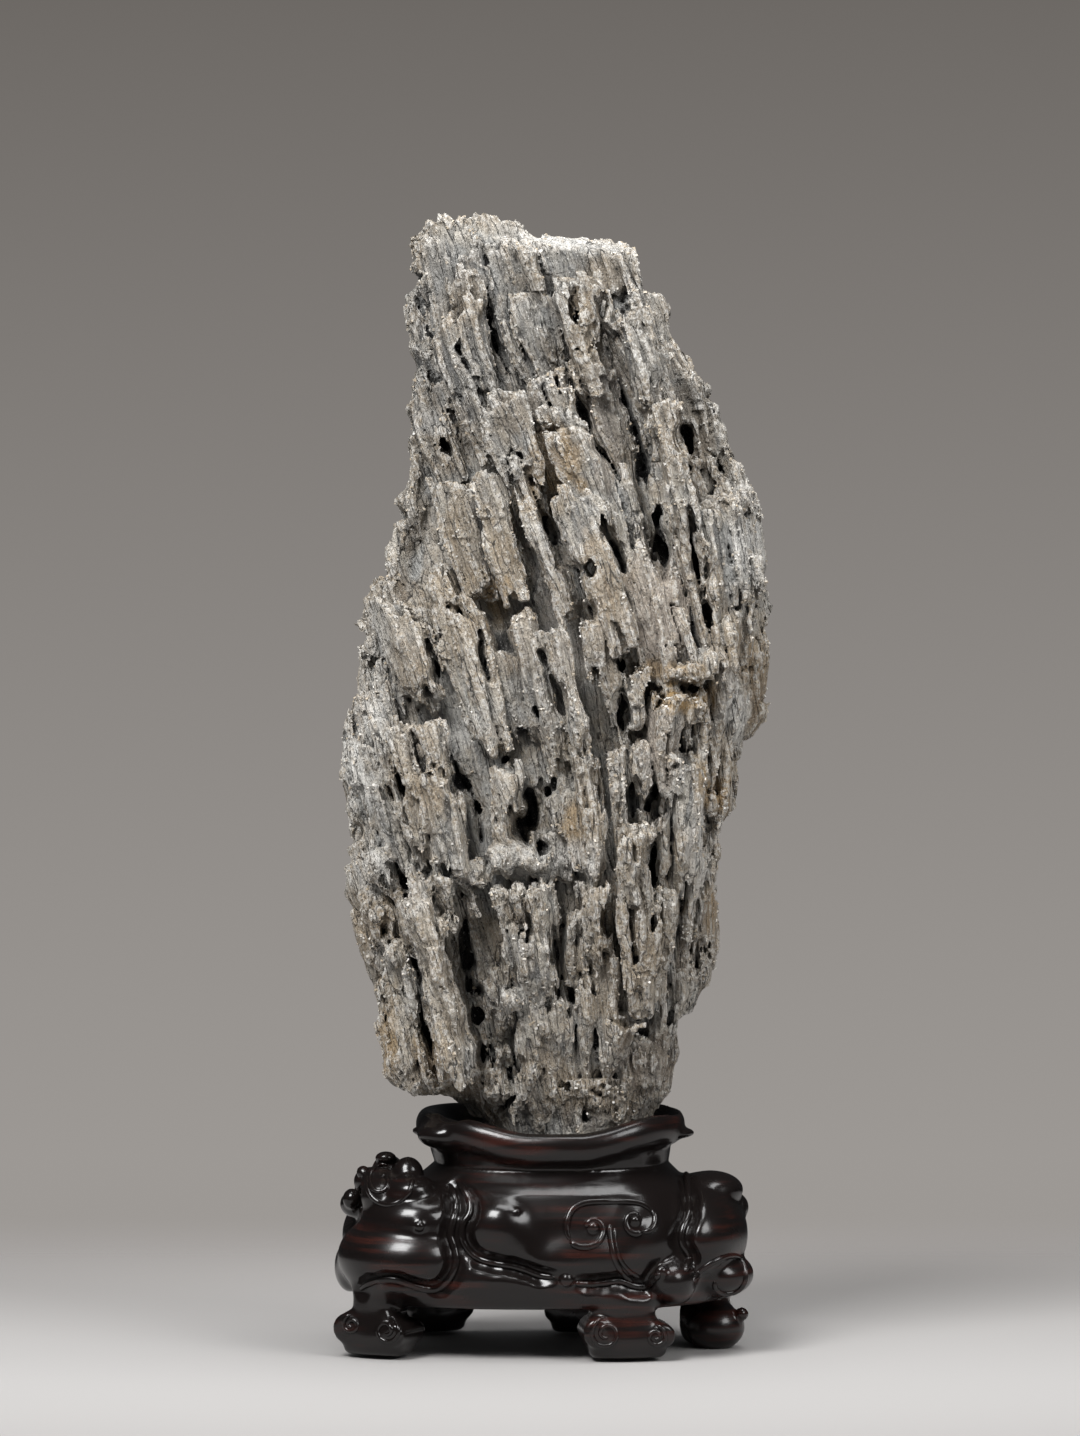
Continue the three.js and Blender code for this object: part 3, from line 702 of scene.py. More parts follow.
class Nodes:
    """A small helper that adds nodes to a tree and joins them."""

    def __init__(self, tree: bpy.types.NodeTree) -> None:
        """Works on the given tree."""
        self.tree = tree

    def node(
        self, kind: str, given: dict[str | int, object] | None = None, **settings: object
    ) -> bpy.types.Node:
        """Adds a node.

        Args:
            kind: The node's type.
            given: What its inputs get, by name or number, each a socket or a plain value.
            settings: Its named properties.

        Returns:
            The node.
        """
        made = self.tree.nodes.new(kind)
        for name, value in settings.items():
            setattr(made, name, value)
        for name, value in (given or {}).items():
            if isinstance(value, bpy.types.NodeSocket):
                self.link(value, made.inputs[name])
            else:
                made.inputs[name].default_value = value
        return made

    def link(self, source: bpy.types.NodeSocket, target: bpy.types.NodeSocket) -> None:
        """Joins two sockets."""
        self.tree.links.new(source, target)

    def maths(self, operation: str, a: object, b: object) -> bpy.types.NodeSocket:
        """Combines two numbers, each a socket or a plain value."""
        return self.node("ShaderNodeMath", {0: a, 1: b}, operation=operation).outputs[0]


class Growth(Nodes):
    """A small helper that writes a geometry-node tree with named inputs."""

    def __init__(self, name: str, inputs: dict[str, str]) -> None:
        """Starts a tree that takes a geometry, the named inputs of the given kinds, and a material."""
        super().__init__(bpy.data.node_groups.new(name, "GeometryNodeTree"))
        face = self.tree.interface
        for label, kind in {"Geometry": "Geometry", **inputs, "Material": "Material"}.items():
            face.new_socket(label, in_out="INPUT", socket_type=f"NodeSocket{kind}")
        face.new_socket("Geometry", in_out="OUTPUT", socket_type="NodeSocketGeometry")
        self.given = self.node("NodeGroupInput").outputs

    def finish(self, grown: bpy.types.NodeSocket) -> bpy.types.NodeTree:
        """Ends the tree by making the instances real and giving them the material."""
        real = self.node("GeometryNodeRealizeInstances", {"Geometry": grown}).outputs[0]
        given = {"Geometry": real, "Material": self.given["Material"]}
        dressed = self.node("GeometryNodeSetMaterial", given)
        self.node("NodeGroupOutput", {"Geometry": dressed.outputs[0]})
        return self.tree


def set_inputs(modifier: bpy.types.NodesModifier, values: dict[str, object]) -> None:
    """Sets a node modifier's inputs, each by its socket's identifier."""
    for socket in modifier.node_group.interface.items_tree:
        if socket.in_out == "INPUT" and socket.name in values:
            modifier[socket.identifier] = values[socket.name]


class Shades(Nodes):
    """A small helper that writes a node material."""

    def __init__(self, name: str) -> None:
        """Starts a material with one principled shader."""
        self.material = bpy.data.materials.new(name)
        self.material.use_nodes = True
        super().__init__(self.material.node_tree)
        self.shader = self.tree.nodes["Principled BSDF"]

    def attribute(self, name: str, vector: bool = False) -> bpy.types.NodeSocket:
        """Reads a value that was painted on the mesh."""
        made = self.node("ShaderNodeAttribute", attribute_name=name)
        return made.outputs["Vector" if vector else "Fac"]

    def noise(
        self,
        place: bpy.types.NodeSocket,
        scale: float,
        detail: float = 4,
        rough: float = 0.6,
        stretch: tuple[float, float, float] = (1, 1, 1),
    ) -> bpy.types.NodeSocket:
        """Noise on stretched coordinates.

        Args:
            place: The coordinates.
            scale: The noise's scale.
            detail: Its octaves.
            rough: How strong the finer octaves are.
            stretch: A factor for each coordinate.

        Returns:
            The noise, from 0 to 1.
        """
        moved = self.node("ShaderNodeMapping", {"Scale": stretch, "Vector": place}).outputs["Vector"]
        given = {"Scale": scale, "Detail": detail, "Roughness": rough, "Vector": moved}
        return self.node("ShaderNodeTexNoise", given).outputs["Fac"]

    def warped(self, place: bpy.types.NodeSocket, scale: float, reach: float) -> bpy.types.NodeSocket:
        """Coordinates that wander by up to a reach in metres, so that a pattern on them isn't regular."""
        swirl = self.node("ShaderNodeTexNoise", {"Scale": scale, "Vector": place}).outputs["Color"]
        centred = self.node("ShaderNodeVectorMath", {0: swirl, 1: (0.5, 0.5, 0.5)}, operation="SUBTRACT")
        given = {0: centred.outputs[0], 1: (2 * reach,) * 3, 2: place}
        return self.node("ShaderNodeVectorMath", given, operation="MULTIPLY_ADD").outputs[0]

    def splinters(
        self, place: bpy.types.NodeSocket, scale: tuple[float, float, float]
    ) -> tuple[bpy.types.NodeSocket, bpy.types.NodeSocket]:
        """Long cells: a random number for each, and the distance from its edge in cells."""
        moved = self.node("ShaderNodeMapping", {"Scale": scale, "Vector": place}).outputs["Vector"]
        given = {"Scale": 1.0, "Vector": moved}
        cell = self.node("ShaderNodeTexVoronoi", given, feature="F1")
        edge = self.node("ShaderNodeTexVoronoi", given, feature="DISTANCE_TO_EDGE")
        split = self.node("ShaderNodeSeparateColor", {0: cell.outputs["Color"]})
        return split.outputs[0], edge.outputs["Distance"]

    def span(
        self, value: bpy.types.NodeSocket, low: float, high: float, out_low: float = 0, out_high: float = 1
    ) -> bpy.types.NodeSocket:
        """Maps low..high to a clamped out_low..out_high, smoothly."""
        given = {"Value": value, "From Min": low, "From Max": high, "To Min": out_low, "To Max": out_high}
        return self.node("ShaderNodeMapRange", given, interpolation_type="SMOOTHSTEP").outputs["Result"]

    def mix(self, share: object, a: object, b: object) -> bpy.types.NodeSocket:
        """Mixes two colours, each a socket or a plain colour."""
        a, b = ((*colour, 1) if isinstance(colour, tuple) else colour for colour in (a, b))
        return self.node("ShaderNodeMix", {0: share, 6: a, 7: b}, data_type="RGBA").outputs[2]

    def bump(
        self, height: bpy.types.NodeSocket, depth: float, strength: float, under: object = None
    ) -> bpy.types.NodeSocket:
        """A bump of the given depth in metres, on top of another where one is given."""
        given = {"Strength": strength, "Distance": depth, "Height": height}
        if under is not None:
            given["Normal"] = under
        return self.node("ShaderNodeBump", given).outputs["Normal"]


@dataclass(frozen=True)
class StoneFinish:
    """Pale splintered quartz rock: grey-beige fibres, ochre stains, white quartz, and painted shade
    darkening its cracks, grooves, hollows and upper part.
    """

    pale: tuple[float, float, float] = (0.48, 0.445, 0.385)
    grey: tuple[float, float, float] = (0.205, 0.20, 0.188)
    # Dark grey that paints shade into grooves, pits and the upper part.
    slate_shade: tuple[float, float, float] = (0.07, 0.069, 0.067)
    tan: tuple[float, float, float] = (0.31, 0.24, 0.158)
    ochre: tuple[float, float, float] = (0.36, 0.235, 0.10)
    umber: tuple[float, float, float] = (0.135, 0.095, 0.06)
    matrix: tuple[float, float, float] = (0.40, 0.40, 0.385)
    flesh: tuple[float, float, float] = (0.37, 0.32, 0.27)
    quartz: tuple[float, float, float] = (0.68, 0.665, 0.63)
    # Near-black that paints shade into deep hollows, cracks and creases.
    fissure_shade: tuple[float, float, float] = (0.012, 0.011, 0.010)
    roughness: float = 0.68
    # Heights in metres over which painted shade darkens the rock's upper part, and over which its crown
    # turns pale again.
    shade_band_from: tuple[float, float] = (0.33, 0.41)
    shade_band_to: tuple[float, float] = (0.482, 0.470)

    def material(self) -> bpy.types.Material:
        """Builds the stone's material."""
        s = Shades("splintered quartz rock")
        grain = s.attribute("grain", vector=True)
        place = s.node("ShaderNodeTexCoord").outputs["Object"]
        cavity = s.attribute("cavity")
        worn = s.attribute("worn")
        bent = s.warped(grain, 90, 0.0012)
        fibre, crack = s.splinters(bent, (260, 260, 24))
        thread, hair = s.splinters(bent, (700, 700, 80))
        streaks = s.noise(bent, 1.0, 5, 0.68, (800, 800, 70))
        bands = s.noise(grain, 1.0, 4, 0.6, (130, 130, 16))
        clouds = s.noise(place, 30, 4, 0.6)
        specks = s.noise(place, 1300, 2, 0.6)
        crumbs = s.noise(place, 430, 4, 0.7)

        tone = s.maths("ADD", s.maths("MULTIPLY", fibre, 0.5), s.maths("MULTIPLY", bands, 0.5))
        colour = s.mix(s.span(tone, 0.3, 0.68), self.grey, self.pale)
        colour = s.mix(s.span(clouds, 0.44, 0.62, 0, 0.7), colour, self.tan)
        colour = s.mix(s.span(thread, 0.62, 0.9, 0, 0.5), colour, self.pale)
        colour = s.mix(s.span(thread, 0.3, 0.05, 0, 0.55), colour, self.grey)
        hollow = s.attribute("hollow")
        matrix = s.maths("MULTIPLY", s.span(hollow, 0.44, 0.56), s.span(clouds, 0.6, 0.4, 0.1, 0.75))
        colour = s.mix(matrix, colour, self.matrix)
        colour = s.mix(s.span(streaks, 0.58, 0.70, 0, 0.6), colour, self.quartz)
        # Painted shade: the low grooves of the streak bump turn dark grey.
        colour = s.mix(s.span(streaks, 0.42, 0.30, 0, 0.7), colour, self.slate_shade)
        for name in ("flesh", "tan", "ochre", "umber", "quartz"):
            share = s.maths("MULTIPLY", s.attribute(name), s.span(bands, 0.25, 0.6, 0.5, 1))
            colour = s.mix(share, colour, getattr(self, name))
        # Painted shade: the upper part of the rock turns darker, which fades again at its crown.
        height = s.node("ShaderNodeSeparateXYZ", {0: place}).outputs["Z"]
        dull = s.maths("MULTIPLY", s.span(height, *self.shade_band_from), s.span(height, *self.shade_band_to))
        colour = s.mix(s.maths("MULTIPLY", dull, 0.5), colour, self.slate_shade)
        edge = s.span(cavity, 0.50, 0.36)
        colour = s.mix(s.maths("MULTIPLY", edge, s.span(clouds, 0.35, 0.55, 0.15, 0.6)), colour, self.tan)
        colour = s.mix(s.maths("MULTIPLY", edge, s.span(crumbs, 0.4, 0.62, 0.05, 0.7)), colour, self.quartz)
        rough_part = s.span(worn, 0, 1, 1, 0.35)
        gaps = s.noise(bent, 1.0, 3, 0.6, (150, 150, 60))
        broken = s.maths("MULTIPLY", s.span(gaps, 0.46, 0.6), rough_part)
        # Painted shade: deep hollows turn near-black.
        colour = s.mix(s.span(hollow, 0.60, 0.74, 0, 0.85), colour, self.fissure_shade)
        # Painted shade: the cracks of the splinter bump turn near-black where the rock is broken, less where
        # it is worn smooth.
        dark = s.maths("MULTIPLY", s.span(crack, 0.05, 0.012, 0, 0.85), broken)
        colour = s.mix(dark, colour, self.fissure_shade)
        # Painted shade: tight creases turn near-black.
        colour = s.mix(s.span(cavity, 0.62, 0.80, 0, 0.92), colour, self.fissure_shade)
        # Painted shade: the pits of the crumb bump turn dark grey.
        colour = s.mix(s.span(crumbs, 0.42, 0.30, 0, 0.6), colour, self.slate_shade)
        colour = s.mix(s.span(specks, 0.60, 0.72, 0, 0.7), colour, self.quartz)
        s.link(colour, s.shader.inputs["Base Color"])
        s.shader.inputs["Roughness"].default_value = self.roughness
        s.shader.inputs["Specular IOR Level"].default_value = 0.4

        relief = s.maths("ADD", s.span(crack, 0, 0.12), s.maths("MULTIPLY", s.span(hair, 0, 0.16), 0.45))
        relief = s.maths("ADD", relief, s.maths("MULTIPLY", fibre, 0.5))
        relief = s.maths("ADD", relief, s.maths("MULTIPLY", streaks, 1.2))
        normal = s.bump(relief, 0.0011, 0.9)
        normal = s.bump(s.maths("ADD", crumbs, s.maths("MULTIPLY", specks, 0.5)), 0.0011, 0.85, normal)
        s.link(normal, s.shader.inputs["Normal"])
        return s.material


@dataclass(frozen=True)
class CrystalFinish:
    """Loose sugary quartz grains."""

    colour: tuple[float, float, float] = (0.55, 0.53, 0.49)
    stained: tuple[float, float, float] = (0.42, 0.35, 0.26)
    roughness: float = 0.35

    def material(self) -> bpy.types.Material:
        """Builds the grains' material."""
        s = Shades("quartz grains")
        place = s.node("ShaderNodeTexCoord").outputs["Object"]
        stain = s.noise(place, 140, 3, 0.6)
        colour = s.mix(s.span(stain, 0.42, 0.62), self.colour, self.stained)
        s.link(colour, s.shader.inputs["Base Color"])
        s.shader.inputs["Roughness"].default_value = self.roughness
        s.shader.inputs["IOR"].default_value = 1.54
        return s.material


@dataclass(frozen=True)
class HardwoodFinish:
    """Near-black hardwood, waxed and polished, red-brown where the light passes its edges."""

    dark: tuple[float, float, float] = (0.006, 0.0045, 0.0042)
    red: tuple[float, float, float] = (0.030, 0.0085, 0.006)
    dust: tuple[float, float, float] = (0.05, 0.042, 0.036)
    roughness: float = 0.2

    def material(self) -> bpy.types.Material:
        """Builds the wood's material."""
        s = Shades("polished hardwood")
        place = s.node("ShaderNodeTexCoord").outputs["Object"]
        grain = s.noise(place, 1.0, 5, 0.6, (28, 28, 420))
        patches = s.noise(place, 22, 3, 0.5)
        share = s.maths("MULTIPLY", s.span(grain, 0.45, 0.68), s.span(patches, 0.46, 0.66))
        colour = s.mix(share, self.dark, self.red)
        dusty = s.maths("MULTIPLY", s.span(s.attribute("cavity"), 0.56, 0.72), 0.25)
        s.link(s.mix(dusty, colour, self.dust), s.shader.inputs["Base Color"])
        dull = s.span(patches, 0.3, 0.7, self.roughness - 0.05, self.roughness + 0.09)
        s.link(dull, s.shader.inputs["Roughness"])
        s.shader.inputs["Specular IOR Level"].default_value = 0.34
        s.shader.inputs["Coat Weight"].default_value = 0.15
        s.shader.inputs["Coat Roughness"].default_value = 0.1
        pores = s.noise(place, 1.0, 3, 0.6, (160, 160, 1900))
        s.link(s.bump(pores, 0.0001, 0.25), s.shader.inputs["Normal"])
        return s.material


class Stain(Enum):
    """The colours that lie on the stone in patches."""

    FLESH = "flesh"
    TAN = "tan"
    OCHRE = "ochre"
    UMBER = "umber"
    QUARTZ = "quartz"


# Patches of colour: x, z, half-width, half-height, strength.
STAINS: dict[Stain, tuple[Row, ...]] = {
    Stain.FLESH: (
        (43, 315, 16, 32, 0.95), (21, 395, 9, 28, 0.7), (44, 262, 10, 22, 0.8), (5, 312, 30, 40, 0.3),
    ),
    Stain.TAN: (
        (20, 462, 14, 9, 0.8), (10, 432, 14, 26, 0.55), (-42, 452, 12, 12, 0.5), (-12, 402, 16, 16, 0.6),
        (-32, 345, 26, 34, 0.5), (-62, 300, 10, 22, 0.5), (60, 395, 10, 30, 0.6), (76, 372, 9, 16, 0.7),
        (87, 284, 9, 26, 0.95), (68, 262, 12, 24, 0.7), (-60, 245, 12, 30, 0.5), (-80, 184, 12, 22, 0.75),
        (-74, 140, 10, 24, 0.7), (-46, 150, 12, 36, 0.5), (30, 175, 22, 44, 0.5), (8, 225, 12, 22, 0.4),
        (22, 318, 12, 40, 0.45), (2, 118, 18, 16, 0.4),
    ),
    Stain.OCHRE: (
        (0, 382, 14, 16, 0.85), (-4, 366, 12, 12, 0.4), (55, 282, 16, 8, 0.95), (50, 292, 18, 5, 0.6),
        (66, 238, 10, 12, 0.8), (-24, 320, 6, 12, 0.6), (12, 440, 5, 16, 0.6), (60, 215, 10, 14, 0.5),
        (68, 200, 8, 18, 0.6), (-52, 128, 8, 14, 0.4), (7, 222, 6, 16, 0.5), (80, 296, 8, 20, 0.4),
        (-72, 128, 8, 16, 0.5),
    ),
    Stain.UMBER: (
        (40, 124, 18, 18, 0.6), (-30, 110, 10, 14, 0.5), (-56, 120, 14, 10, 0.5), (64, 176, 10, 24, 0.5),
        (72, 222, 8, 14, 0.55), (-68, 330, 10, 7, 0.4), (20, 104, 30, 8, 0.4), (88, 274, 6, 14, 0.5),
    ),
    Stain.QUARTZ: (
        (84, 352, 11, 32, 0.9), (-85, 256, 12, 22, 0.85), (-80, 288, 12, 26, 0.5), (76, 278, 7, 18, 0.85),
        (61, 218, 8, 22, 0.85), (-79, 206, 14, 9, 0.75), (-73, 171, 6, 7, 0.8), (-54, 399, 6, 7, 0.9),
        (-14, 150, 10, 8, 0.5), (-8, 212, 28, 11, 0.8), (-25, 238, 7, 14, 0.4), (-60, 196, 6, 12, 0.6),
        (-52, 462, 6, 20, 0.3), (45, 470, 8, 16, 0.3), (-30, 268, 22, 8, 0.35), (30, 238, 14, 14, 0.35),
    ),
}


@dataclass
class Stone:
    """The rock: a core sheathed in leaning planks, with lumps, hollows, clefts and fine splinters."""

    step: float = 0.9
    core_inset: float = 21.0
    side_inset: float = 2.0
    relief: float = 1.6
    sink: float = 10.0
    groove: float = 2.2
    grooved: float = 0.35
    crown_jag: float = 8.0
    ribs: int = 260
    bands: int = 4
    limit: int = 190_000
    crisp: float = 26.0
    envelope: Envelope = field(default_factory=lambda: Envelope(STONE_LEVELS))
    coarse: SplinterMap = field(default_factory=lambda: SplinterMap(9.0, 21))
    medium: SplinterMap = field(default_factory=lambda: SplinterMap(4.4, 31))
    small: SplinterMap = field(default_factory=lambda: SplinterMap(2.4, 41))

    def grain_place(self, x: Array, z: Array) -> Array:
        """How far across the grain a point lies: the grain leans to +X downwards, least at lower right."""
        levels = (76, 250, 300, 430, 496)
        west = np.interp(z, levels, (-62, -15, 0, 48, 65))
        east = np.interp(z, levels, (-17, -9, 0, 30, 46))
        share = ramp(x, -40, 70)
        return (x + west * (1 - share) + east * share).astype(np.float32)

    def face_frame(self, x: float, z: float, proud: float) -> tuple[Array, Array]:
        """A point standing proud of the front, and the way that the front faces there."""
        heading = self.envelope.heading_at(x, z)
        out = self.envelope.outward(heading, z)
        return self.envelope.point(heading, z) + out * proud, out

    def add_plank(
        self, block: Sculpture, crown: Array, foot: Array, out: Array, widths: Sequence[float], seed: int,
        depth: float = 20.0,
    ) -> None:
        """Joins one plank, with a groove round it and a splintered crown.

        Args:
            block: The sculpture.
            crown: The middle of the plank's upper edge, on its outer face.
            foot: The middle of its lower edge.
            out: The way its face looks.
            widths: Its width at the crown and at the foot.
            seed: Picks its breaks.
            depth: How far it reaches into the rock.
        """
        luck = np.random.RandomState(seed)
        along = foot - crown
        length = float(np.linalg.norm(along))
        axis = along / length
        twist = luck.uniform(-0.3, 0.3)
        face = out - axis * out.dot(axis)
        face /= np.linalg.norm(face)
        across = np.cross(face, axis)
        face, across = (
            face * math.cos(twist) + across * math.sin(twist),
            across * math.cos(twist) - face * math.sin(twist),
        )
        fine = min(1.0, max(widths) / 12)
        jag = self.crown_jag * fine
        reach = max(widths) / 2 + 3
        spans = [(a, d, h) for a in (-reach, reach) for d in (-jag, length + jag) for h in (-depth, 4)]
        corners = crown + np.array(spans) @ np.array([across, axis, face])
        window = block.window(corners.min(axis=0) - 4, corners.max(axis=0) + 4)
        x, y, z = block.grid(window)
        if x.size == 0:
            return
        grain, _ = (self.medium if fine > 0.7 else self.small).at(self.grain_place(x, z), y)
        dx = x + block.drift[0][window] - crown[0]
        dz = z + block.drift[1][window] - crown[2]
        dy = y - crown[1]
        down = dx * axis[0] + dy * axis[1] + dz * axis[2]
        side = dx * across[0] + dy * across[1] + dz * across[2]
        height = dx * face[0] + dy * face[1] + dz * face[2]
        share = np.clip(down / length, 0, 1)
        half = (widths[0] * (1 - share) + widths[1] * share) / 2 * (1.02 - 0.25 * share**3)
        tilt = luck.uniform(-0.6, 0.6)
        crest = -down + tilt * side + 0.5 * side**2 / max(widths) - jag * (grain - 0.4)
        toe = down - length - 2 * jag * (grain - 0.5)
        flank = np.abs(side) - half - 2 * fine * (grain - 0.5)
        ring = np.maximum(np.maximum(crest, toe), flank)
        ridge = luck.uniform(-0.4, 0.3) * half
        slant = np.where(side > ridge, 0.5, 0.22) * np.abs(side - ridge)
        surface = height + 8.0 * fine * share**2.2 + slant - 1.3 * fine * (grain - 0.5)
        bevel = (crest + 0.8 * surface + 0.5 * fine) * 0.75
        shape = np.maximum(np.maximum(ring, bevel), np.maximum(surface, -height - depth))
        moated = length * (0.65 if luck.uniform() < self.grooved else 0.22)
        moat = np.maximum(np.maximum(-ring, ring - self.groove * fine * (1 + surface / 4)), surface - 1.5)
        value = np.maximum(block.value[window], -np.maximum(moat, down - moated))
        block.value[window] = smooth_min(value, shape, 0.3)

    def mass(self, x: float, z: float) -> float:
        """How far the broad masses carry a place forwards: each ends abruptly above and softly below."""
        total = 0.0
        for place_x, place_z, wide, high, height in MASSES:
            here, there = self.grain_place(np.array([x, place_x]), np.array([z, place_z]))
            rise = (z - place_z) / (high * (0.9 if z > place_z else 1.3))
            total += height * math.exp(-(((here - there) / wide) ** 2) - rise**4)
        return total

    def front_planks(self, block: Sculpture) -> None:
        """Joins the planks that the front's table gives, the least proud first."""
        table = [*CREST_PLANKS, *UPPER_PLANKS, *MIDDLE_PLANKS, *LOWER_PLANKS]
        for seed, row in sorted(enumerate(table), key=lambda item: item[1][6]):
            crown_x, crown_z, foot_x, foot_z, crown_width, foot_width, proud = row
            proud = self.relief * proud - self.sink
            proud += self.mass((crown_x + foot_x) / 2, (crown_z + foot_z) / 2)
            crown, above = self.face_frame(crown_x, crown_z, proud)
            foot, below = self.face_frame(foot_x, foot_z, proud)
            self.add_plank(block, crown, foot, above + below, (1.15 * crown_width, 1.15 * foot_width), seed)

    def wrap_planks(self, block: Sculpture) -> None:
        """Joins the planks of the sides and the back, in leaning columns of staggered length."""
        luck = np.random.RandomState(41)
        columns, bands, crest, sole = 15, 7, 480.0, 101.0
        pitch = (crest - sole) / bands
        for column in range(columns):
            heading = math.radians(72 + 216 * column / (columns - 1))
            for band in range(bands):
                crown_z = min(crest, crest - (band + luck.uniform(-0.45, 0.45)) * pitch)
                foot_z = max(crown_z - pitch * luck.uniform(0.9, 1.7), sole)
                turn = heading + luck.uniform(-0.09, 0.09)
                middle = (crown_z + foot_z) / 2
                out = self.envelope.outward(turn, middle)
                proud = luck.uniform(-6, 5)
                run = 0.2 * (1 - 0.75 * abs(out[0]))
                crown = self.envelope.point(turn, crown_z) + out * proud
                foot = self.envelope.point(turn, foot_z) + out * proud
                crown[0] -= run * (crown_z - middle)
                foot[0] += run * (middle - foot_z)
                width = luck.uniform(9, 20)
                self.add_plank(block, crown, foot, out, (width, width * 0.9), 200 + column * bands + band)

    def fine_ribs(self, block: Sculpture) -> None:
        """Lays small splinters all over the rock, on whatever its surface is by then."""
        luck = np.random.RandomState(77)
        steps = np.arange(16, -26, -0.7)
        for number in range(self.ribs):
            heading = math.radians(luck.uniform(-180, 180) * luck.uniform(0.75, 1))
            crown_z = luck.uniform(112, 452)
            length = luck.uniform(12, 40)
            slope = self.grain_slope(float(self.envelope.point(heading, crown_z)[0]), crown_z)
            crown = self.envelope.point(heading, crown_z)
            out = self.envelope.outward(heading, crown_z - length / 2)
            run = slope * length * abs(out[1])
            foot = self.envelope.point(heading, crown_z - length)
            foot[0] = crown[0] + run + (foot[0] - crown[0]) * abs(out[0])
            ends = []
            for point, proud in ((crown, luck.uniform(0.4, 2.0)), (foot, luck.uniform(-1.5, 0.5))):
                ray = point + out * steps[:, None]
                inside = np.nonzero(block.sample(block.value, ray) < 0)[0]
                if len(inside):
                    ends.append(ray[inside[0]] + out * proud)
            if len(ends) == 2 and abs((ends[1] - ends[0]).dot(out)) < 0.35 * length and foot[2] > 100:
                width = luck.uniform(3.0, 7.5)
                self.add_plank(block, ends[0], ends[1], out, (width, width * 0.9), 900 + number, 6.0)

    def grain_slope(self, x: float, z: float) -> float:
        """How far the grain runs to +X for each millimetre down, at a place on the front."""
        x, z = np.array([x, x, x + 1]), np.array([z, z + 1, z])
        here, above, aside = self.grain_place(x, z)
        return float((above - here) / (aside - here))

    def cut_cleft(self, block: Sculpture, points: Sequence[Row], width: float, depth: float) -> None:
        """Cuts a cleft into the front, narrower inwards and towards its ends.

        Args:
            block: The sculpture.
            points: x and z of the points of the line that it follows.
            width: Its width at the front.
            depth: How far it reaches in.
        """
        line = np.array(points, float)
        margin = width + 3
        low, high = line.min(axis=0) - margin, line.max(axis=0) + margin
        window = block.window((low[0], -71.5, low[1]), (high[0], 20, high[1]))
        x, y, z = block.grid(window)
        flat_x, flat_z = x[:, :1, :], z[:, :1, :]
        away = np.full(flat_x.shape, 1e9)
        steps = np.linalg.norm(np.diff(line, axis=0), axis=1)
        walked = 0.0
        for (ax, az), (bx, bz), step in zip(line, line[1:], steps):
            t = np.clip(((flat_x - ax) * (bx - ax) + (flat_z - az) * (bz - az)) / step**2, 0, 1)
            place = (walked + t * step) / steps.sum()
            half = width / 2 * (1.5 - 1.5 * np.abs(2 * place - 1) ** 2.5)
            off = np.hypot(flat_x - ax - t * (bx - ax), flat_z - az - t * (bz - az))
            away = np.minimum(away, off - half)
            walked += step
        depth = depth + self.sink * min(1.0, steps.sum() / 30)
        sunk = (y - self.envelope.front_face(flat_x, flat_z)) / depth
        away = away + 0.3 * width * value_noise(flat_x / 9, flat_z / 9, 0 * flat_x, 16)
        away = away + (0.6 + 0.2 * width) * value_noise(flat_x / 3.2, flat_z / 6, 0 * flat_x, 17)
        shape = away + width * (0.75 * np.clip(sunk, -0.4, 2) - 0.2)
        shape = np.maximum(shape, (sunk - 1) * depth)
        shape = shape + min(1.3, 0.4 + width / 8) * self.ragged(x, y, z)
        block.value[window] = -smooth_min(-block.value[window], shape.astype(np.float32), 0.4)

    def blob(
        self, block: Sculpture, x: float, z: float, sizes: Sequence[float], lean: float, proud: float
    ) -> None:
        """Joins an ellipsoid that lies in the front's own face.

        Args:
            block: The sculpture.
            x, z: Its place on the front.
            sizes: Half-width, half-depth and half-height.
            lean: How far its long axis leans to +X downwards, in radians.
            proud: How far its middle stands proud.
        """
        point, out = self.face_frame(x, z, proud)
        level = np.array([-out[1], out[0], 0.0])
        up = np.array([0.0, 0.0, 1.0])
        across = level * math.cos(lean) + up * math.sin(lean)
        upright = up * math.cos(lean) - level * math.sin(lean)
        block.ellipsoid(point, np.array([across, out, upright]), sizes, 0.8, ragged=self.ragged)

    def ragged(self, x: Array, y: Array, z: Array) -> Array:
        """How far a broken face strays, splinter by splinter and along each."""
        name, _ = self.small.at(self.grain_place(x, z), y)
        return 2.6 * (name - 0.5) + 1.5 * value_noise(x / 4, y / 4, z / 7, 14) + 0.1

    def crest(self, x: Array, y: Array) -> Array:
        """The height of the broken plane at the top."""
        return 479.5 - 0.1 * x + 0.3 * y

    def splintering(self, block: Sculpture) -> None:
        """Breaks the surface into splinters, grooves and grains, finer than the planks."""
        near = np.nonzero(np.abs(block.value) < 4)
        x, y, z = (axis[i] for axis, i in zip(block.axes, near))
        u = self.grain_place(x, z)
        wobble = 2.0 * value_noise(x / 11, y / 11, z / 22, 11)
        rise = np.zeros(len(x), np.float32)
        for cells, length, height in ((self.coarse, 40, 2.0), (self.medium, 21, 1.5), (self.small, 11, 1.0)):
            name, edge = cells.at(u + wobble, y + wobble)
            run = z / length + name * 7
            segment = np.floor(run)
            number = (name * 4096).astype(np.int32)
            lot = chance(segment.astype(np.int32), number, 0 * number, cells.seed)
            rise += height * (lot - 0.5) * (0.35 + 0.65 * (run - segment))
            rise -= 0.35 * height * (1 - ramp(edge, 0.02, 0.2))
        rise += 0.35 * value_noise(x / 2.1, y / 2.1, z / 2.6, 61)
        rise += 1.1 * value_noise(x / 6, y / 6, z / 9, 71)
        worn = self.patch(x, y, z, WORN_AREAS, 0.35)
        foot = ramp(z, 90.5, 95)
        block.value[near] -= rise * (1 - 0.75 * worn) * foot

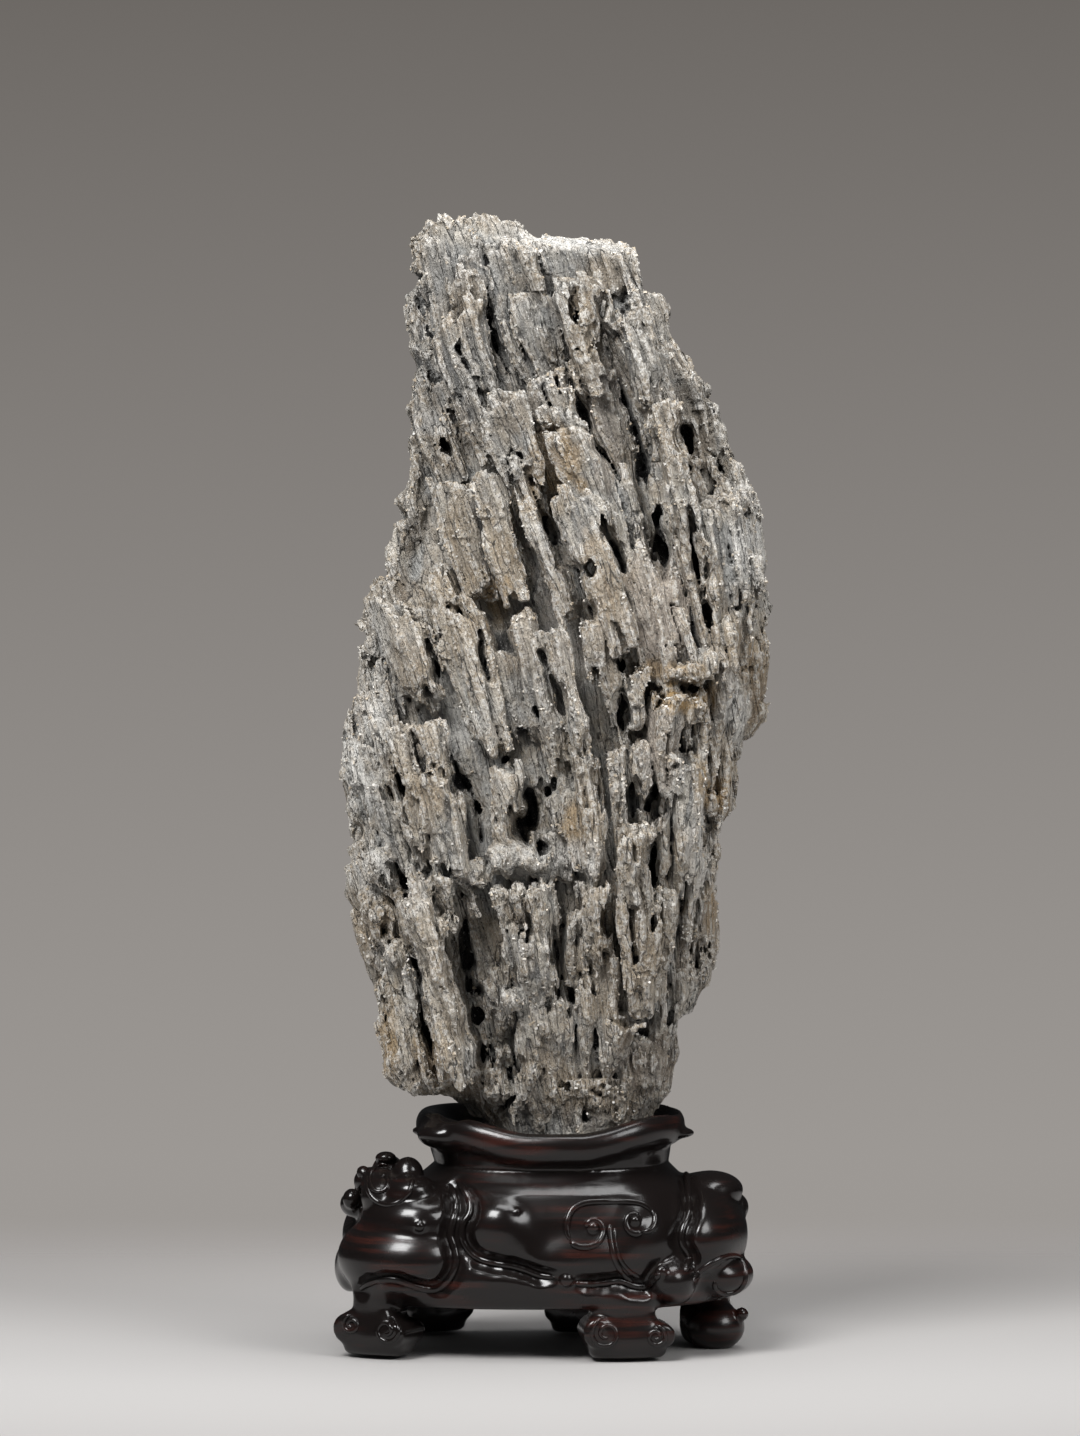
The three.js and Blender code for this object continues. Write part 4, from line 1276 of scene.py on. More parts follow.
    def patch(self, x: Array, y: Array, z: Array, areas: Iterable[Row], ragged: float) -> Array:
        """The share of a set of soft-edged areas of the front that covers each point.

        Args:
            x, y, z: The points.
            areas: x, z, half-width, half-height and, where given, strength.
            ragged: How uneven the areas' edges are.

        Returns:
            From 0 to the strength of the strongest area there.
        """
        total = np.zeros(len(x), np.float32)
        rag = ragged * value_noise(x / 6, y / 6, z / 14, 81)
        rag += ragged * value_noise(x / 2.5, y / 2.5, z / 5, 82)
        for area in areas:
            away = np.hypot((x - area[0]) / area[2], (z - area[1]) / area[3]) + rag
            strength = area[4] if len(area) > 4 else 1.0
            total = np.maximum(total, strength * ramp(-away, -1.25, -0.6))
        return total * ramp(-y, -20, 10)

    def sculpt(self) -> Sculpture:
        """Carves the whole rock."""
        block = Sculpture((-101, -71.5, 76), (101, 65, 496), self.step)
        for layer in range(0, len(block.axes[2]), 40):
            cut = (slice(None), slice(None), slice(layer, layer + 40))
            x, y, z = block.grid(cut)
            rock = self.envelope.distance(x, y, z, self.core_inset, self.side_inset)
            foot = Envelope(STONE_FOOT).distance(x, y, z, 3.4)
            rock = np.where(z < 99, foot, np.where(z < 118, np.minimum(rock, foot), rock))
            block.value[cut] = np.maximum(rock, np.maximum(z - self.crest(x, y), 80 - z))
        self.wrap_planks(block)
        self.front_planks(block)
        for x, z, width, height, proud in STONE_LUMPS:
            lean = math.atan(self.grain_slope(x, z))
            self.blob(block, x, z, (width / 2, 8, height / 2), lean, proud - 9 + 0.5 * self.mass(x, z))
        for width, depth, points in CLEFTS:
            self.cut_cleft(block, points, width, depth)
        self.cut_outline(block)
        self.fine_ribs(block)
        self.splintering(block)
        self.keep_inside(block)
        return block

    def keep_inside(self, block: Sculpture) -> None:
        """Holds the surface inside the rock's own box and clear of the stand."""
        low = np.array(CAD_BOX[0]) / MM - np.array(TABLE_ORIGIN) + 0.3
        high = np.array(CAD_BOX[1]) / MM - np.array(TABLE_ORIGIN) - 0.3
        for axis in range(3):
            shape = [-1 if a == axis else 1 for a in range(3)]
            line = block.axes[axis].reshape(shape)
            beyond = line - high[axis] if axis == 2 else np.maximum(line - high[axis], low[axis] - line)
            np.maximum(block.value, beyond.astype(np.float32), out=block.value)
        floor = block.axes[2].reshape(1, 1, -1)
        np.maximum(block.value, np.where(floor < 82, 80 - floor, -60).astype(np.float32), out=block.value)

    def cut_outline(self, block: Sculpture) -> None:
        """Cuts the rock to its outline from the front, and its top to the broken plane."""
        x, y, z = (block.axes[a].reshape([-1 if b == a else 1 for b in range(3)]) for a in range(3))
        seen = polygon_distance(*np.broadcast_arrays(x, z), np.array(STONE_OUTLINE))
        depths = 1.5 * value_noise(*np.broadcast_arrays(x / 9, y / 9, z / 9), 15)
        np.maximum(block.value, (seen + depths + 0.6).astype(np.float32), out=block.value)
        west = ramp(-x, 8, 26)
        top = z - self.crest(x, y) - west * (14 - 0.35 * np.clip(-y - 5, 0, 40))
        rough = value_noise(*np.broadcast_arrays(x / 7, y / 7, 0 * y + 0 * x), 13)
        np.maximum(block.value, (top + (0.9 + 2.4 * west) * rough).astype(np.float32), out=block.value)

    def build(self) -> list[bpy.types.Object]:
        """Makes the rock's pieces, one above the other, with the values that their material reads.

        Returns:
            The pieces, from the foot up.
        """
        block = self.sculpt()
        log.info("stone sculpted")
        points, faces = largest_shell(*block.skin())
        log.info("stone skinned: %d faces", len(faces))
        shares = {"cavity": block.blurred(2.6), "hollow": block.blurred(8)}
        middle = points[faces].mean(axis=1)[:, 2]
        cuts = np.quantile(middle, np.linspace(0, 1, self.bands + 1))
        material = StoneFinish().material()
        pieces = []
        for number, (low, high) in enumerate(zip(cuts, cuts[1:])):
            inside = (middle >= low) & ((middle < high) | (high == cuts[-1]))
            name = f"stone_{number + 1}"
            piece = object_of(name, mesh_of(name, *kept(points, faces[inside])))
            at = table_points(piece.data)
            edge = np.minimum(np.abs(at[:, 2] - low), np.abs(at[:, 2] - high))
            front = 0.75 * ramp(-at[:, 1], -16, 4)
            thinned(piece, self.limit, np.where(edge < 4 * block.step, 1, front))
            self.dress(piece.data, block, shares)
            piece.data.materials.append(material)
            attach(piece, "root")
            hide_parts("stone")
            log.info("%s: %d faces", name, len(piece.data.polygons))
            pieces.append(piece)
        return pieces

    def dress(self, mesh: bpy.types.Mesh, block: Sculpture, shares: dict[str, Array]) -> None:
        """Paints a mesh with the values that the stone's material reads.

        Args:
            mesh: The mesh.
            block: The sculpture that it was skinned from.
            shares: The share of solid round each voxel, by the name that the material reads.
        """
        at = table_points(mesh)
        x, y, z = at.T.astype(np.float32)
        for name, share in shares.items():
            paint(mesh, name, block.sample(share, at))
        paint(mesh, "grain", np.stack([self.grain_place(x, z), y, z], axis=1) * MM)
        paint(mesh, "worn", self.patch(x, y, z, WORN_AREAS, 0.35))
        # The flat top is painted quartz-white: partly the pale of its broken face, partly a painted
        # highlight from the light above.
        top = 0.85 * ramp(z - self.crest(x, y), -3.5, -0.5) * ramp(x, -30, -10)
        for stain, areas in STAINS.items():
            share = self.patch(x, y, z, areas, 0.35)
            paint(mesh, stain.value, np.maximum(share, top) if stain is Stain.QUARTZ else share * (1 - top))
        mesh.shade_smooth()
        mesh.set_sharp_from_angle(angle=math.radians(self.crisp))


def kept(points: Array, faces: Array) -> tuple[Array, Array]:
    """Some faces of a mesh, with only the points that they use."""
    used, flat = np.unique(faces, return_inverse=True)
    return points[used], flat.reshape(faces.shape)


def largest_shell(points: Array, faces: Array) -> tuple[Array, Array]:
    """Keeps the largest connected shell of a mesh.

    Args:
        points: One row per point.
        faces: One row of point numbers per face.

    Returns:
        The points and faces of that shell.
    """
    label = np.arange(len(points))
    while True:
        lowest = label[faces].min(axis=1)
        merged = label.copy()
        for corner in range(faces.shape[1]):
            np.minimum.at(merged, faces[:, corner], lowest)
        merged = merged[merged]
        if np.array_equal(merged, label):
            break
        label = merged
    names, sizes = np.unique(label[faces[:, 0]], return_counts=True)
    return kept(points, faces[label[faces[:, 0]] == names[np.argmax(sizes)]])


@dataclass
class QuartzGrains:
    """Small quartz crystals that stick to the rock's edges, scattered by a node tree."""

    size: float = 0.0009
    density: float = 90_000.0
    seed: int = 7
    material: bpy.types.Material = field(default_factory=lambda: CrystalFinish().material())

    def tree(self) -> bpy.types.NodeTree:
        """The node tree that scatters the crystals over the mesh that it is given."""
        s = Growth("quartz grains", {"Density": "Float", "Size": "Float", "Seed": "Int"})
        share = s.node("GeometryNodeInputNamedAttribute", {"Name": "sparkle"}, data_type="FLOAT")
        amount = s.maths("MULTIPLY", s.given["Density"], share.outputs["Attribute"])
        given = {"Mesh": s.given["Geometry"], "Density": amount, "Seed": s.given["Seed"]}
        scatter = s.node("GeometryNodeDistributePointsOnFaces", given, distribute_method="RANDOM")
        crystal = s.node("GeometryNodeMeshCube", {"Size": s.given["Size"]})
        turn = s.node("FunctionNodeRandomValue", {1: (6.28, 6.28, 6.28)}, data_type="FLOAT_VECTOR")
        scales = {0: (0.45, 0.45, 0.6), 1: (1.1, 1.1, 1.9)}
        scale = s.node("FunctionNodeRandomValue", scales, data_type="FLOAT_VECTOR")
        given = {"Points": scatter.outputs["Points"], "Instance": crystal.outputs["Mesh"]}
        given |= {"Rotation": turn.outputs[0], "Scale": scale.outputs[0]}
        return s.finish(s.node("GeometryNodeInstanceOnPoints", given).outputs["Instances"])

    def build(self, number: int, stone: bpy.types.Object, tree: bpy.types.NodeTree) -> bpy.types.Object:
        """Scatters the crystals on one of the rock's pieces.

        Args:
            number: The piece's number.
            stone: The piece.
            tree: The node tree that scatters.

        Returns:
            The crystals' piece.
        """
        mesh = stone.data.copy()
        count = len(mesh.vertices)
        at = table_points(mesh)
        read = {name: np.empty(count, np.float32) for name in ("cavity", "quartz")}
        for name, values in read.items():
            mesh.attributes[name].data.foreach_get("value", values)
        clump = value_noise(*(at / 9).T.astype(np.float32), 91)
        edge = ramp(-read["cavity"], -0.5, -0.38)
        paint(mesh, "sparkle", np.clip(edge * ramp(clump, 0.0, 0.5) + 0.6 * edge * read["quartz"], 0, 1))
        piece = object_of(f"quartz_grains_{number}", mesh)
        grow = piece.modifiers.new("grow", "NODES")
        grow.node_group = tree
        chosen = {"Density": self.density, "Size": self.size, "Seed": self.seed + number}
        set_inputs(grow, {**chosen, "Material": self.material})
        applied(piece)
        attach(piece, "root")
        log.info("%s: %d faces", piece.name, len(piece.data.polygons))
        return piece


# The carved lobes and knots of the stand: centre x, y, z, then half-size along x, y, z.
LOBES: tuple[Row, ...] = (
    (-60, -27, 42, 33, 34, 21),
    (-58, -29, 58, 25, 27, 16),
    (-23, -49, 57, 15, 13, 13),
    (0, -50, 43, 19, 12, 9),
    (-18, -36, 50, 27, 25, 22),
    (8, -34, 44, 40, 28, 21),
    (34, -36, 50, 20, 22, 22),
    (58, -10, 50, 25, 42, 25),
    (-58, 22, 46, 35, 36, 26),
    (3, 30, 46, 44, 28, 25),
    (55, 20, 48, 27, 38, 25),
)
KNOTS: tuple[Row, ...] = (
    (-47, -27, 94, 12, 14, 6.5),
    (-72, -12, 77, 7, 9, 7),
    (-80, -6, 72, 7, 9, 6),
    (-74, -32, 68, 9, 12, 9),
    (-61, -38, 71, 11, 12, 7),
    (-86, -4, 62, 7, 10, 6),
    (-88, -12, 36, 7, 18, 11),
    (67, -12, 69, 14, 17, 8),
    (76, 2, 60, 8, 12, 7),
    (70, -24, 34, 15, 18, 10),
    (49, -44, 34, 11, 15, 10),
    (69, -5, 9, 13, 12, 10.5),
)
# The feet: centre x, centre y, half-width at the widest, heading in degrees.
FEET: tuple[Row, ...] = (
    (-75, -36, 16, -28),
    (30, -46, 18.5, 8),
    (66, 8, 15, 84),
    (-54, 44, 15, 210),
    (12, 42, 15, 176),
)
FOOT_OUTLINE: tuple[Row, ...] = (
    (-0.62, 30),
    (-0.66, 22),
    (-0.86, 20),
    (-1, 16),
    (-1, 6),
    (-0.9, 1.5),
    (-0.74, 0),
    (0.76, 0),
    (0.92, 1.5),
    (1, 6),
    (0.98, 12),
    (0.8, 17),
    (0.6, 22),
    (0.6, 30),
)
# Small buds, tips and ears on the stand: centre x, y, z, then half-size along x, y, z.
BUDS: tuple[Row, ...] = (
    (-75.2, -27, 72.5, 8.2, 8, 7.6),
    (-72.8, -17, 83, 4.6, 5, 2.8),
    (-82.4, -20, 77, 3, 4, 3),
    (-87.5, -14, 65, 4, 5, 4.6),
    (-63, -28, 76, 7, 7, 8.5),
    (51, -46, 31, 8, 10, 7.5),
    (77.5, -12, 63.5, 3.6, 4, 3.4),
    (75, -16, 70, 3, 4, 3),
    (80.5, -10, 15, 3, 3.4, 3),
    (-54, -21, 95, 7.5, 6, 2.4),
    (-50, -16, 97, 9, 10, 3.4),
    (51, -13, 93.5, 9, 9, 2.6),
)
# Round studs on the stand's front: x, z, radius.
STUDS: tuple[Row, ...] = (
    (15.8, 57.4, 2.7),
    (33.6, 60, 2.4),
    (-57.4, 57.5, 2.4),
    (-16, 64, 1.6),
    (4.7, 35.5, 3.2),
    (44.7, 38.5, 3),
)
# Scoops in the stand, in the same form.
SCOOPS: tuple[Row, ...] = (
    (-42, -32, 105, 9, 10, 6),
    (63, -61, 62, 8, 9, 15),
    (62, -52, 78, 12, 10, 4),
)
# Raised lines carved on the front of the stand, each a list of x and z, with the line's radius first.
BEADS: tuple[tuple[float, tuple[Row, ...]], ...] = (
    (1.25, ((-42, 75), (-37.6, 70), (-36, 66), (-36.4, 62), (-38.9, 58.3), (-39.6, 54), (-38.6, 50),
        (-35.8, 46.2), (-31.6, 43.4), (-25.5, 41.9), (-18, 40.8), (-12, 39), (-6.5, 37), (-0.2, 36.4))),
    (1.25, ((8, 34), (14, 33.2), (20, 33.6), (27, 34.4), (33, 32), (38, 31.6), (41, 34.5), (44, 38))),
    (1.3, ((-45, 74), (-43, 69), (-41.9, 64.7), (-43.6, 58), (-44.4, 53), (-42.6, 47.8), (-41.9, 41.5),
        (-44.4, 35.6), (-48.6, 31.4), (-52.9, 30.4), (-59.2, 32), (-66.3, 34.7), (-71.8, 34.9),
        (-78.1, 33), (-83, 29))),
    (1.25, ((56.4, 76), (57, 68), (56.6, 60.8), (54.3, 56), (53.4, 51), (55, 46.5), (56.8, 43),
        (54.6, 38.6))),
    (1.15, ((6.1, 52), (4.9, 56), (4.9, 60), (7, 64.6), (11, 67), (17, 67.8), (27.2, 67.6), (35, 66.9),
        (40, 64.6), (42, 61.3), (41.6, 58), (39.6, 55.8), (36.6, 55.4))),
    (1.15, ((6.1, 52), (8.6, 50), (13, 49.4), (17, 50.6), (19.6, 53.4), (20, 57), (18.4, 59.6),
        (15.8, 60.4), (13.6, 59.2), (12.8, 57))),
    (1.15, ((36.6, 55.4), (33.6, 54.6), (31, 56), (29.8, 58.6), (30.6, 61.4), (33, 62.6),
        (35.6, 61.8))),
    (1.0, ((23, 58.6), (22.9, 55), (23.6, 50), (25.4, 43), (28.6, 37.4), (33, 33.6))),
    (0.8, ((25, 57), (25.2, 51), (27.2, 44), (31, 39), (36, 35.6))),
    (1.0, ((58, 34), (62, 38.4), (67, 41.6), (73, 43.4), (78, 42), (81, 37.5), (80.6, 31.5), (77, 27.6),
        (71.5, 27), (68, 29.6), (67.6, 33))),
    (0.9, ((-80.6, 77), (-79.6, 71.6), (-76.4, 67.4), (-71.4, 65.8), (-66, 67.4), (-61.8, 71.4),
        (-60.4, 76.6))),
    (0.8, ((-71.6, 80), (-75.4, 80.4), (-78.4, 78), (-78.8, 74), (-76.4, 71.2), (-72.8, 71.4),
        (-71, 74), (-72, 76.6), (-74.6, 77))),
)
# Scrolls on the faces of the feet: x, z, radius, +1 where they turn outwards to +X.
SCROLLS: tuple[Row, ...] = (
    (-86.5, 14.5, 4.0, -1),
    (-71.5, 12.8, 6.0, 1),
    (21.5, 12.6, 7.0, -1),
    (42.4, 11.0, 4.6, 1),
)


@dataclass
class Stand:
    """The stand, carved from one block, with its raised lines and scrolls."""

    step: float = 0.95
    base: float = 22.0
    rim_height: float = 7.4
    rim_depth: float = 5.6
    rim_lean: float = 0.45
    foot_depth: float = 20.0
    line_girth: float = 1.35
    limit: int = 120_000
    envelope: Envelope = field(default_factory=lambda: Envelope(STAND_LEVELS))
    stone: Envelope = field(default_factory=lambda: Envelope(STONE_FOOT))

    def add_foot(self, block: Sculpture, x: float, y: float, half: float, heading: float) -> None:
        """Joins one scroll foot.

        Args:
            block: The sculpture.
            x, y: The foot's middle.
            half: Its half-width at the widest.
            heading: The way that it faces, in degrees.
        """
        turn = math.radians(heading)
        reach = half + self.foot_depth
        window = block.window((x - reach, y - reach, -2), (x + reach, y + reach, 34))
        gx, gy, gz = block.grid(window)
        across = (gx - x) * math.cos(turn) + (gy - y) * math.sin(turn)
        depth = (gy - y) * math.cos(turn) - (gx - x) * math.sin(turn)
        outline = np.array(FOOT_OUTLINE) * (half, 1)
        shape = polygon_distance(across, gz, outline) + 1.2
        belly = self.foot_depth / 2 + 1.5 * ramp(-np.abs(gz - 9), -12, 0)
        shape = rounded_max(shape, np.abs(depth) - belly + 0.012 * across**2, 4.5)
        for side, radius, height in ((-1, 6.4, 12.5), (1, 5.2, 11)):
            middle = side * (half - radius + 1.2)
            away = np.hypot(across - middle, gz - height)
            curl = rounded_max(away - radius, np.abs(depth) - self.foot_depth / 2 - 0.8, 2.0)
            shape = smooth_min(shape, curl, 1.5)
        shape = np.maximum(shape, -gz)
        block.value[window] = smooth_min(block.value[window], shape.astype(np.float32), 5.0)
        np.maximum(block.value[window], -gz, out=block.value[window])

    def sculpt(self) -> Sculpture:
        """Carves the whole stand."""
        block = Sculpture((-99, -71.5, -2), (99, 65, 107), self.step, wander=0.0)
        x, y, z = np.meshgrid(*block.axes, indexing="ij")
        block.value[:] = np.maximum(self.envelope.distance(x, y, z), z - 94)
        upright = np.eye(3)
        for row in LOBES:
            block.ellipsoid(np.array(row[:3]), upright, row[3:], 3.0)
        block.value[:] = rounded_max(block.value, self.base - z, 4.0)
        for row in FEET:
            self.add_foot(block, *row)
        self.cut_valleys(block)
        for row in KNOTS:
            block.ellipsoid(np.array(row[:3]), upright, row[3:], 2.4)
        for row in BUDS:
            block.ellipsoid(np.array(row[:3]), upright, row[3:], 1.2)
        for place_x, place_z, size in STUDS:
            block.ellipsoid(self.on_front(block, place_x, place_z, 0), upright, (size,) * 3, 0.6)
        self.add_rim(block, x, y, z)
        for row in SCOOPS:
            block.ellipsoid(np.array(row[:3]), upright, row[3:], 2.5, True)
        self.cut_socket(block, x, y, z)
        low, high = (np.array(corner) / MM - np.array(TABLE_ORIGIN) for corner in CAD_BOX)
        box = np.maximum(np.maximum(x - high[0], low[0] - x), np.maximum(y - high[1], low[1] - y))
        np.maximum(block.value, np.maximum(box + 0.4, -z).astype(np.float32), out=block.value)
        return block

    def add_rim(self, block: Sculpture, x: Array, y: Array, z: Array) -> None:
        """Joins the turned-over lip, a leaning oval in section, low in front and high at the sides."""
        heading = np.arctan2(x, -y)
        side = np.abs(np.sin(heading))
        middle = np.where(y < 0, 88.8, 91.0) + np.where(y < 0, 6.8, 4.6) * ramp(side, 0.2, 0.85)
        out = self.envelope.distance(x, y, np.full_like(z, 86)) - 0.5
        up = z - middle
        lean = self.rim_lean * (1 - 0.5 * side)
        across = out * np.cos(lean) - up * np.sin(lean)
        along = up * np.cos(lean) + out * np.sin(lean)
        size = np.hypot(across / self.rim_depth, along / self.rim_height)
        roll = (size - 1) * np.minimum(self.rim_depth, self.rim_height)
        block.value[:] = smooth_min(block.value, roll.astype(np.float32), 1.6)

    def cut_valleys(self, block: Sculpture) -> None:
        """Sinks a soft valley under each long raised line."""
        for radius, line in BEADS:
            if radius > 1.2:
                for start, end in zip(line, line[1:]):
                    a, b = (self.on_front(block, *p, 1.6) for p in (start, end))
                    window = block.window(np.minimum(a, b) - 12, np.maximum(a, b) + 12)
                    place = np.stack(block.grid(window), axis=-1) - a
                    share = np.clip(place @ (b - a) / (b - a).dot(b - a), 0, 1)
                    away = np.linalg.norm(place - share[..., None] * (b - a), axis=-1)
                    cut = (away - 3.4).astype(np.float32)
                    block.value[window] = -smooth_min(-block.value[window], cut, 3.0)

    @staticmethod
    def on_front(block: Sculpture, x: float, z: float, proud: float) -> Array:
        """The point at x and z that stands proud of the front, or comes closest where there is none."""
        depths = np.arange(-70, 10, 0.25)
        ray = np.stack([np.full_like(depths, x), depths, np.full_like(depths, z)], axis=1)
        values = block.sample(block.value, ray)
        hit = values < max(proud, 0)
        return ray[int(np.argmax(hit) if hit.any() else np.argmin(values))]

    def cut_socket(self, block: Sculpture, x: Array, y: Array, z: Array) -> None:
        """Cuts the pocket for the rock's foot, which opens out above it."""
        clear = self.stone.distance(x, y, z, 4.6)
        mouth = self.stone.distance(x, y, z, -10.0)
        pocket = np.where(z < 91, np.maximum(clear, 79.6 - z), mouth)
        np.maximum(block.value, -pocket.astype(np.float32), out=block.value)

    def lines(self, block: Sculpture) -> list[tuple[float, Array]]:
        """The raised lines, laid on the stand's front.

        Args:
            block: The sculpture, which gives the depth of the front.

        Returns:
            For each line its radius and its points.
        """
        made = []
        for radius, line in BEADS:
            made.append((self.line_girth * radius, [self.on_front(block, x, z, 0) for x, z in eased(line)]))
        for x, z, size, side in SCROLLS:
            turns = np.linspace(0, 1, 40)
            reach = size * (1 - 0.8 * turns)
            angle = math.pi / 2 - side * turns * 3.2 * math.pi
            points = zip(x + reach * np.cos(angle), z + reach * np.sin(angle))
            made.append((1.0, [self.on_front(block, *p, 0) for p in points]))
        return [(radius, np.array(points)) for radius, points in made]

    def build(self) -> list[bpy.types.Object]:
        """Makes the stand's pieces, with the values that their material reads.

        Returns:
            The stand and its raised lines.
        """
        block = self.sculpt()
        points, faces = largest_shell(*block.skin())
        body = object_of("stand_body", mesh_of("stand_body", points, faces))
        log.info("stand skinned: %d faces", len(faces))
        relax = body.modifiers.new("relax", "SMOOTH")
        relax.factor = 0.5
        relax.iterations = 5
        applied(body)
        flatten_soles(body.data)
        thinned(body, self.limit, np.zeros(len(points)))
        paint(body.data, "cavity", block.sample(block.blurred(3), table_points(body.data)))
        body.data.shade_smooth()
        material = HardwoodFinish().material()
        body.data.materials.append(material)
        beading = RaisedLines(material).build(self.lines(block))
        for piece in (body, beading):
            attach(piece, "root")
            log.info("%s: %d faces", piece.name, len(piece.data.polygons))
        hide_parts("stand")
        return [body, beading]


def eased(line: Sequence[Row], steps: int = 4) -> Array:
    """A smooth line through the given points, with several steps from each to the next."""
    points = np.array(line, float)
    before = np.vstack([2 * points[:1] - points[1:2], points[:-1]])
    after = np.vstack([points[1:], 2 * points[-1:] - points[-2:-1]])
    slope = (after - before) / 2
    t = np.linspace(0, 1, steps + 1)[:-1, None, None]
    rise = t * t * (3 - 2 * t)
    bend = t * (1 - t) ** 2 * slope[:-1] - t * t * (1 - t) * slope[1:]
    inner = points[:-1] * (1 - rise) + points[1:] * rise + bend
    return np.vstack([inner.transpose(1, 0, 2).reshape(-1, 2), points[-1:]])


def flatten_soles(mesh: bpy.types.Mesh) -> None:
    """Sets the lowest points of a mesh on the floor."""
    flat = np.empty(len(mesh.vertices) * 3, np.float32)
    mesh.vertices.foreach_get("co", flat)
    place = flat.reshape(-1, 3)
    place[:, 2] = np.where(place[:, 2] < 0.35 * MM, 0, place[:, 2])
    mesh.vertices.foreach_set("co", place.ravel())


@dataclass
class RaisedLines:
    """Round raised lines that a node tree sweeps along curves on the carving."""

    material: bpy.types.Material
    sides: int = 10
    spacing: float = 0.0009

    def tree(self) -> bpy.types.NodeTree:
        """The node tree that turns curves into tubes, thinner towards their ends."""
        s = Growth("raised lines", {"Sides": "Int", "Spacing": "Float"})
        given = {"Curve": s.given["Geometry"], "Length": s.given["Spacing"]}
        spread = s.node("GeometryNodeResampleCurve", given, mode="LENGTH")
        along = s.node("GeometryNodeSplineParameter")
        taper = s.node("ShaderNodeFloatCurve", {"Value": along.outputs["Factor"]})
        curve = taper.mapping.curves[0]
        curve.points[0].location = (0, 0.12)
        curve.points[1].location = (1, 0.12)
        for place in (0.09, 0.91):
            curve.points.new(place, 1.0)
        taper.mapping.update()
        size = s.maths("MULTIPLY", s.node("GeometryNodeInputRadius").outputs[0], taper.outputs[0])
        section = s.node("GeometryNodeCurvePrimitiveCircle", {"Radius": 1.0, "Resolution": s.given["Sides"]})
        given = {"Curve": spread.outputs["Curve"], "Profile Curve": section.outputs["Curve"]}
        sweep = s.node("GeometryNodeCurveToMesh", {**given, "Scale": size, "Fill Caps": True})
        smooth = s.node("GeometryNodeSetShadeSmooth", {"Geometry": sweep.outputs["Mesh"]})
        return s.finish(smooth.outputs["Geometry"])

    def build(self, lines: list[tuple[float, Array]]) -> bpy.types.Object:
        """Sweeps the lines.

        Args:
            lines: The radius and the points of each, in the tables' millimetres.

        Returns:
            The piece.
        """
        data = bpy.data.curves.new("raised_lines_path", "CURVE")
        data.dimensions = "3D"
        for radius, points in lines:
            spline = data.splines.new("NURBS")
            spline.points.add(len(points) - 1)
            spline.order_u = 4
            spline.use_endpoint_u = True
            spline.resolution_u = 8
            for point, place in zip(spline.points, (points + np.array(TABLE_ORIGIN)) * MM):
                point.co = (*place, 1)
                point.radius = radius * MM
        path = bpy.data.objects.new("raised_lines_path", data)
        bpy.context.scene.collection.objects.link(path)
        sweep = path.modifiers.new("sweep", "NODES")
        sweep.node_group = self.tree()
        set_inputs(sweep, {"Sides": self.sides, "Spacing": self.spacing, "Material": self.material})
        graph = bpy.context.evaluated_depsgraph_get()
        mesh = bpy.data.meshes.new_from_object(path.evaluated_get(graph))
        mesh.name = "raised_lines"
        bpy.data.objects.remove(path)
        paint(mesh, "cavity", np.full(len(mesh.vertices), 0.5))
        return object_of("raised_lines", mesh)


def rounded_max(a: Array, b: Array, soft: float) -> Array:
    """Cuts one field by another with a rounded edge of about the given size."""
    return -smooth_min(-a, -b, soft)


def polygon_distance(x: Array, y: Array, outline: Array) -> Array:
    """Signed distance from a closed outline in a plane.

    Args:
        x, y: The points.
        outline: The outline's corners in order.

    Returns:
        The distance, negative inside.
    """
    nearest = np.full(x.shape, 1e9, np.float32)
    inside = np.zeros(x.shape, bool)
    for (ax, ay), (bx, by) in zip(outline, np.roll(outline, -1, axis=0)):
        length = (bx - ax) ** 2 + (by - ay) ** 2
        t = np.clip(((x - ax) * (bx - ax) + (y - ay) * (by - ay)) / length, 0, 1)
        nearest = np.minimum(nearest, (x - ax - t * (bx - ax)) ** 2 + (y - ay - t * (by - ay)) ** 2)
        if ay != by:
            crosses = ((ay > y) != (by > y)) & (x < (bx - ax) * (y - ay) / (by - ay) + ax)
            inside ^= crosses
    return np.where(inside, -1, 1) * np.sqrt(nearest)


